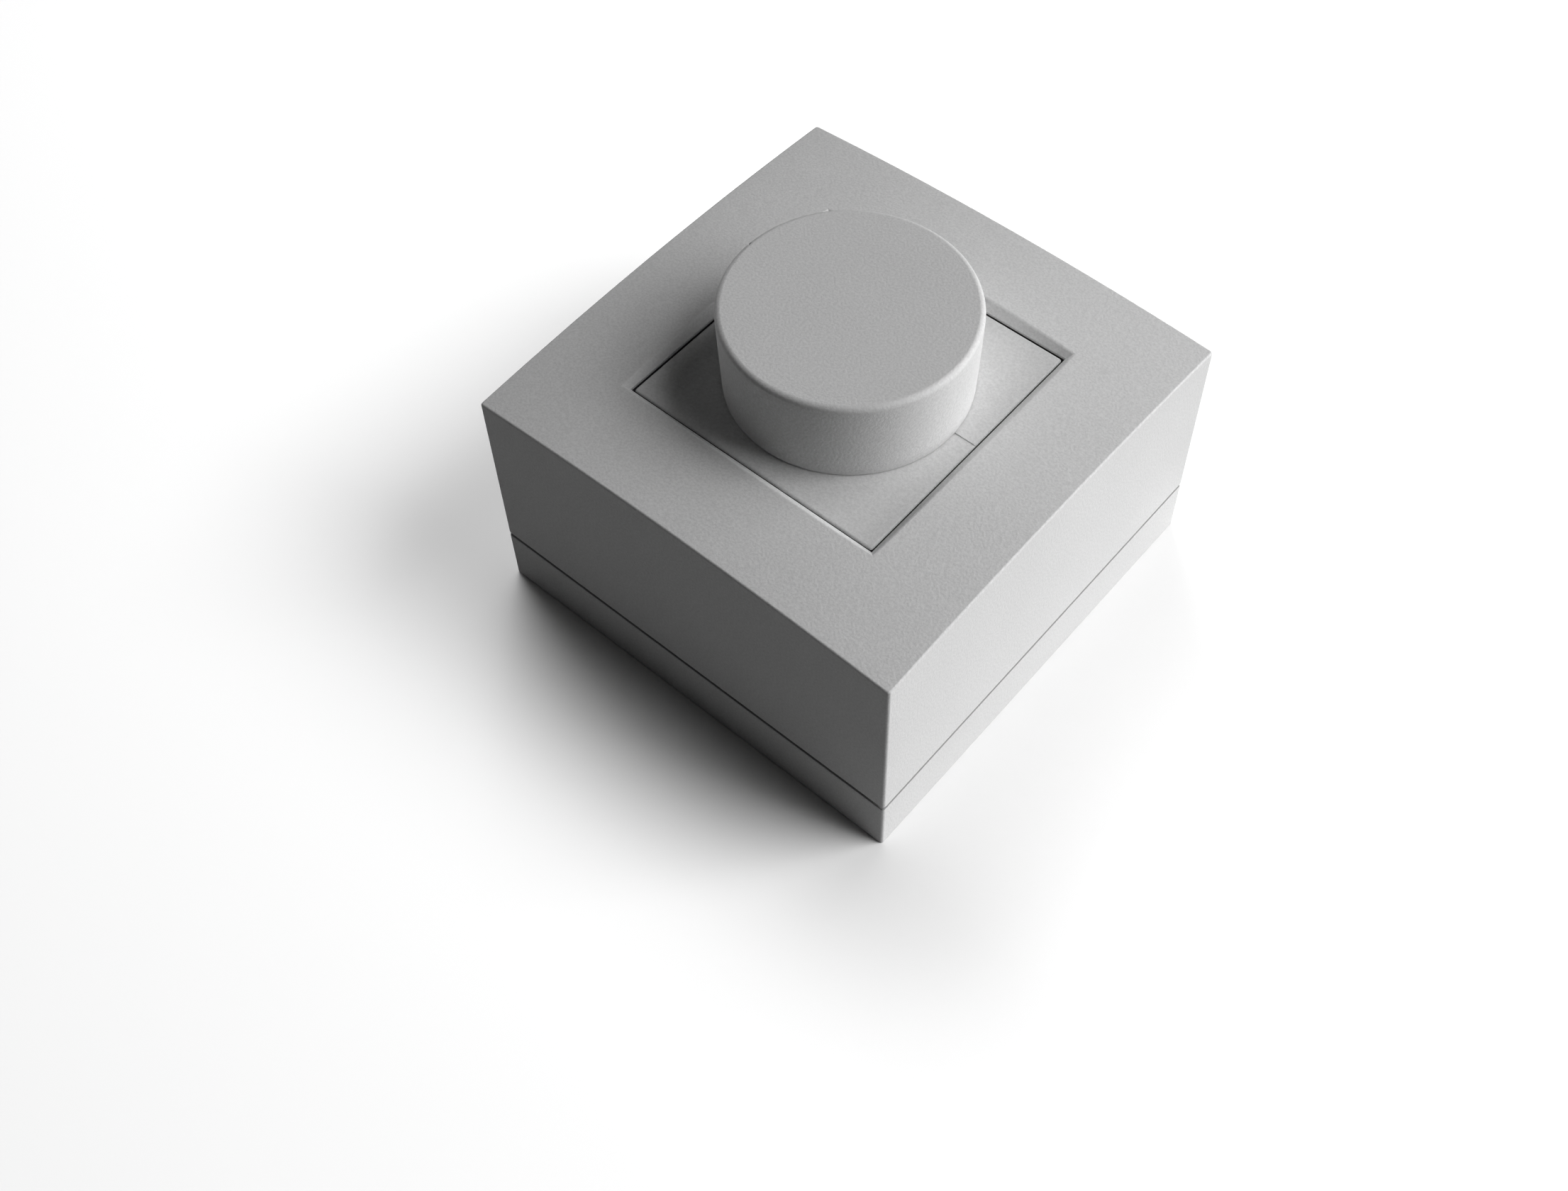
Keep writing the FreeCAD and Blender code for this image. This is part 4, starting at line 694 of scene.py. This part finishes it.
# %% Centre plate sizes
ROUND_STEPS = 160
WELL_DEPTH = 1.5
WELL_FLOOR_THICKNESS = 1.5
WELL_WALL = 1.4
WELL_RADIUS = 17.25
BUSH_HOLE_RADIUS = 5.2
PLATE_ROUND = 0.45
MARK_WIDTH = 0.7
MARK_FLOOR_WIDTH = 0.6
MARK_PLACE = 1.0
MARK_DEPTH = 0.2
MARK_START = -18.5
PEG_RADIUS = 1.5
PEG_PLACE = 12.0

WELL_FLOOR = PLATE_TOP - WELL_DEPTH
CUP_FOOT = WELL_FLOOR - WELL_FLOOR_THICKNESS
CUP_RADIUS = WELL_RADIUS + WELL_WALL
print("plate", round(2 * PLATE_HALF, 2), "mm square, its face at", round(PLATE_TOP, 2), "mm")


# %% Centre plate
def round_loop(bm, radius, level, squared=False):
    """Loop around a circle, or around the square of that half side."""
    before = set(bm.edges)
    bmesh.ops.create_circle(bm, segments=ROUND_STEPS, radius=radius)
    loop = [edge for edge in bm.edges if edge not in before]
    for vert in {vert for edge in loop for vert in edge.verts}:
        if squared:
            vert.co.xy *= radius / max(abs(vert.co.x), abs(vert.co.y))
        vert.co.z = level
    return loop


plate_mesh = bmesh.new()
plate_loops = [
    round_loop(plate_mesh, BUSH_HOLE_RADIUS, WELL_FLOOR),
    round_loop(plate_mesh, WELL_RADIUS, WELL_FLOOR),
    round_loop(plate_mesh, WELL_RADIUS, PLATE_TOP),
    round_loop(plate_mesh, PLATE_HALF, PLATE_TOP, squared=True),
    round_loop(plate_mesh, PLATE_HALF, LEDGE_TOP, squared=True),
    round_loop(plate_mesh, CUP_RADIUS, LEDGE_TOP),
    round_loop(plate_mesh, CUP_RADIUS, CUP_FOOT),
    round_loop(plate_mesh, BUSH_HOLE_RADIUS, CUP_FOOT),
]
bridge_chain(plate_mesh, plate_loops)


def at_plate_corner(place):
    return close_to(abs(place.x), PLATE_HALF) and close_to(abs(place.y), PLATE_HALF)


def on_plate_rim(place):
    at_side = close_to(max(abs(place.x), abs(place.y)), PLATE_HALF)
    return at_side and close_to(place.z, PLATE_TOP)


plate_edges = edges_where(plate_mesh, at_plate_corner) + edges_where(plate_mesh, on_plate_rim)
bevel_edges(plate_mesh, list(set(plate_edges)), PLATE_ROUND, ROUND_SEGMENTS)
print("plate edges rounded", len(set(plate_edges)))

# %% Index groove
MARK_LEVEL = PLATE_TOP - MARK_DEPTH
MARK_SURROUND = 2.0
MARK_UNDERSIDE = LEDGE_TOP + 0.1
CUT_TOLERANCE = 0.0001
MARK_CUTS = (
    ((MARK_PLACE - MARK_WIDTH / 2, 0, 0), (1, 0, 0)),
    ((MARK_PLACE + MARK_WIDTH / 2, 0, 0), (1, 0, 0)),
    ((0, MARK_START, 0), (0, 1, 0)),
    ((0, 0, MARK_LEVEL), (0, 0, 1)),
)


def near_mark(face):
    middle = face.calc_center_median()
    across = abs(middle.x - MARK_PLACE) < MARK_SURROUND
    return across and middle.y < -WELL_RADIUS and middle.z > MARK_UNDERSIDE


def in_mark(face):
    middle = face.calc_center_median()
    across = abs(middle.x - MARK_PLACE) < MARK_WIDTH / 2
    return across and middle.y < MARK_START and middle.z > MARK_LEVEL


def sink(bm, faces):
    """Put copies of these faces in their place, joined to the outline by a wall that is still
    flat, and give the copies' vertices, which the caller moves in."""
    sunk = bmesh.ops.extrude_face_region(bm, geom=faces)
    bmesh.ops.delete(bm, geom=faces, context="FACES")
    return [item for item in sunk["geom"] if isinstance(item, bmesh.types.BMVert)]


for point, direction in MARK_CUTS:
    ahead = [face for face in plate_mesh.faces if near_mark(face)]
    parts = set(ahead) | {item for face in ahead for item in (*face.edges, *face.verts)}
    bmesh.ops.bisect_plane(plate_mesh, geom=list(parts), dist=CUT_TOLERANCE,
                           plane_co=point, plane_no=direction)
mark_faces = [face for face in plate_mesh.faces if in_mark(face)]
print("index groove faces", len(mark_faces))
for vert in sink(plate_mesh, mark_faces):
    vert.co.z = MARK_LEVEL
    vert.co.x = MARK_PLACE + (vert.co.x - MARK_PLACE) * MARK_FLOOR_WIDTH / MARK_WIDTH

# %% Pegs under the plate
PEG_FOOT = plate_low.z / MM
for side in (-1, 1):
    middle = Matrix.Translation((side * PEG_PLACE, PEG_PLACE, (CUP_FOOT + PEG_FOOT) / 2))
    bmesh.ops.create_cone(plate_mesh, cap_ends=True, segments=32, radius1=PEG_RADIUS,
                          radius2=PEG_RADIUS, depth=CUP_FOOT - PEG_FOOT, matrix=middle)
plate = finish_piece(plate_mesh, "centre_plate_moulding", case_plastic)
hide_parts("centre_plate")
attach(plate, "switch_box")

# %% [markdown]
# ## The knob
# The knob is turned in shape: a cap whose side narrows a little towards the foot, a small
# round on its rim, a hub for the spindle and six thin ribs. A cone with a bevel would do for
# the outside, but a half section that is spun once around gives wall, face and hub in one go.
# The rim's edge is then bevelled, and the groove that points at the speed is pressed into one
# column of side faces. The foot stands a hair above the plate, so it can turn.

# %% Knob sizes
SPIN_STEPS = 216
knob_low, knob_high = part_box("knob")
KNOB_TOP = knob_high.z / MM
KNOB_FOOT = knob_low.z / MM
RIM_RADIUS = 20.0
FOOT_RADIUS = 19.5
KNOB_GROOVE_LIFT = 0.6
KNOB_GROOVE_START = KNOB_FOOT + KNOB_GROOVE_LIFT
KNOB_GROOVE_DEPTH = 0.3
KNOB_ROUND = 1.0
KNOB_ROUND_SEGMENTS = 8
KNOB_WALL = 1.8
KNOB_CAP = 2.2
HUB_RADIUS = 5.25
HUB_FOOT = 47.6
BORE_RADIUS = 3.05
BORE_END = 58.2
FLAT_PLACE = 2.15
FLAT_FOOT = 49.0
RIB_COUNT = 6
RIB_THICKNESS = 1.2
RIB_DEPTH = 6.0
print("knob from", round(KNOB_FOOT, 2), "to", round(KNOB_TOP, 2), "mm above the wall")


# %% Knob's half section and spin
def side_radius(level):
    """Radius of the knob's side at that height."""
    rise = (level - KNOB_FOOT) / (KNOB_TOP - KNOB_FOOT)
    return FOOT_RADIUS + (RIM_RADIUS - FOOT_RADIUS) * rise


KNOB_PROFILE = (
    (0.0, BORE_END),
    (BORE_RADIUS, BORE_END),
    (BORE_RADIUS, FLAT_FOOT),
    (BORE_RADIUS, HUB_FOOT),
    (HUB_RADIUS, HUB_FOOT),
    (HUB_RADIUS, KNOB_TOP - KNOB_CAP),
    (FOOT_RADIUS - KNOB_WALL, KNOB_TOP - KNOB_CAP),
    (FOOT_RADIUS - KNOB_WALL, KNOB_FOOT),
    (FOOT_RADIUS, KNOB_FOOT),
    (side_radius(KNOB_GROOVE_START), KNOB_GROOVE_START),
    (RIM_RADIUS, KNOB_TOP),
    (0.0, KNOB_TOP),
)

knob_mesh = bmesh.new()
start_turn = Matrix.Rotation(math.radians(90.0) + math.pi / SPIN_STEPS, 3, "Z")
corners = [knob_mesh.verts.new(start_turn @ Vector((r, 0, z))) for r, z in KNOB_PROFILE]
chain = [knob_mesh.edges.new(pair) for pair in zip(corners, corners[1:])]
bmesh.ops.spin(knob_mesh, geom=corners + chain, cent=(0, 0, 0), axis=(0, 0, 1),
               angle=math.tau, steps=SPIN_STEPS, use_merge=True)
bmesh.ops.remove_doubles(knob_mesh, verts=knob_mesh.verts, dist=SAME_POINT)
print("knob spun from", len(KNOB_PROFILE), "points in", SPIN_STEPS, "steps")


# %% Knob's rim, groove and flat
KNOB_GROOVE_FLOOR = FOOT_RADIUS - KNOB_GROOVE_DEPTH
KNOB_GROOVE_HALF_WIDTH = 0.1


def on_knob_rim(place):
    return close_to(place.z, KNOB_TOP) and close_to(place.xy.length, RIM_RADIUS)


bevel_edges(knob_mesh, edges_where(knob_mesh, on_knob_rim), KNOB_ROUND, KNOB_ROUND_SEGMENTS)
bmesh.ops.recalc_face_normals(knob_mesh, faces=knob_mesh.faces)


def in_knob_groove(face):
    middle = face.calc_center_median()
    outside = min(vert.co.y for vert in face.verts) > KNOB_GROOVE_FLOOR
    return outside and middle.z > KNOB_GROOVE_START and abs(middle.x) < KNOB_GROOVE_HALF_WIDTH


groove_faces = [face for face in knob_mesh.faces if in_knob_groove(face)]
print("knob groove faces", len(groove_faces))
for vert in sink(knob_mesh, groove_faces):
    vert.co.y = KNOB_GROOVE_FLOOR
for vert in knob_mesh.verts:
    in_bore = vert.co.xy.length < BORE_RADIUS + CLOSE
    if in_bore and FLAT_FOOT + CLOSE < vert.co.z < BORE_END + CLOSE:
        vert.co.y = min(vert.co.y, FLAT_PLACE)

# %% Knob's ribs
WELD = 0.5
rib_inner = HUB_RADIUS - WELD
rib_outer = FOOT_RADIUS - KNOB_WALL + WELD
rib_height = RIB_DEPTH + WELD
rib_middle = KNOB_TOP - KNOB_CAP + WELD - rib_height / 2
for count in range(RIB_COUNT):
    rib_turn = Matrix.Rotation(math.tau * count / RIB_COUNT, 4, "Z")
    rib_place = Matrix.Translation(((rib_inner + rib_outer) / 2, 0, rib_middle))
    rib_size = Matrix.Diagonal((rib_outer - rib_inner, RIB_THICKNESS, rib_height, 1.0))
    bmesh.ops.create_cube(knob_mesh, size=1.0, matrix=rib_turn @ rib_place @ rib_size)
knob = finish_piece(knob_mesh, "knob_moulding", knob_plastic)
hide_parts("knob")
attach(knob, "knob_group")

# %% [markdown]
# ## Finishes of the solids that stay
# Base and inner parts keep the solids' meshes. They could be modelled again too, but the
# base has only straight edges and the inside doesn't show, so a real finish is enough. The
# record says which finish each one has, so one table of finishes by slot name dresses them.

# %% Dress the solids
finishes = {**metals, **plastics}
for name, node in nodes.items():
    for place, material_slot in enumerate(node.material_slots):
        slot_name = material_slot.material.name.split(".")[0]
        if slot_name not in finishes:
            print("no finish for", name, slot_name)
            continue
        node.material_slots[place].material = finishes[slot_name]
print("dressed", len(nodes))
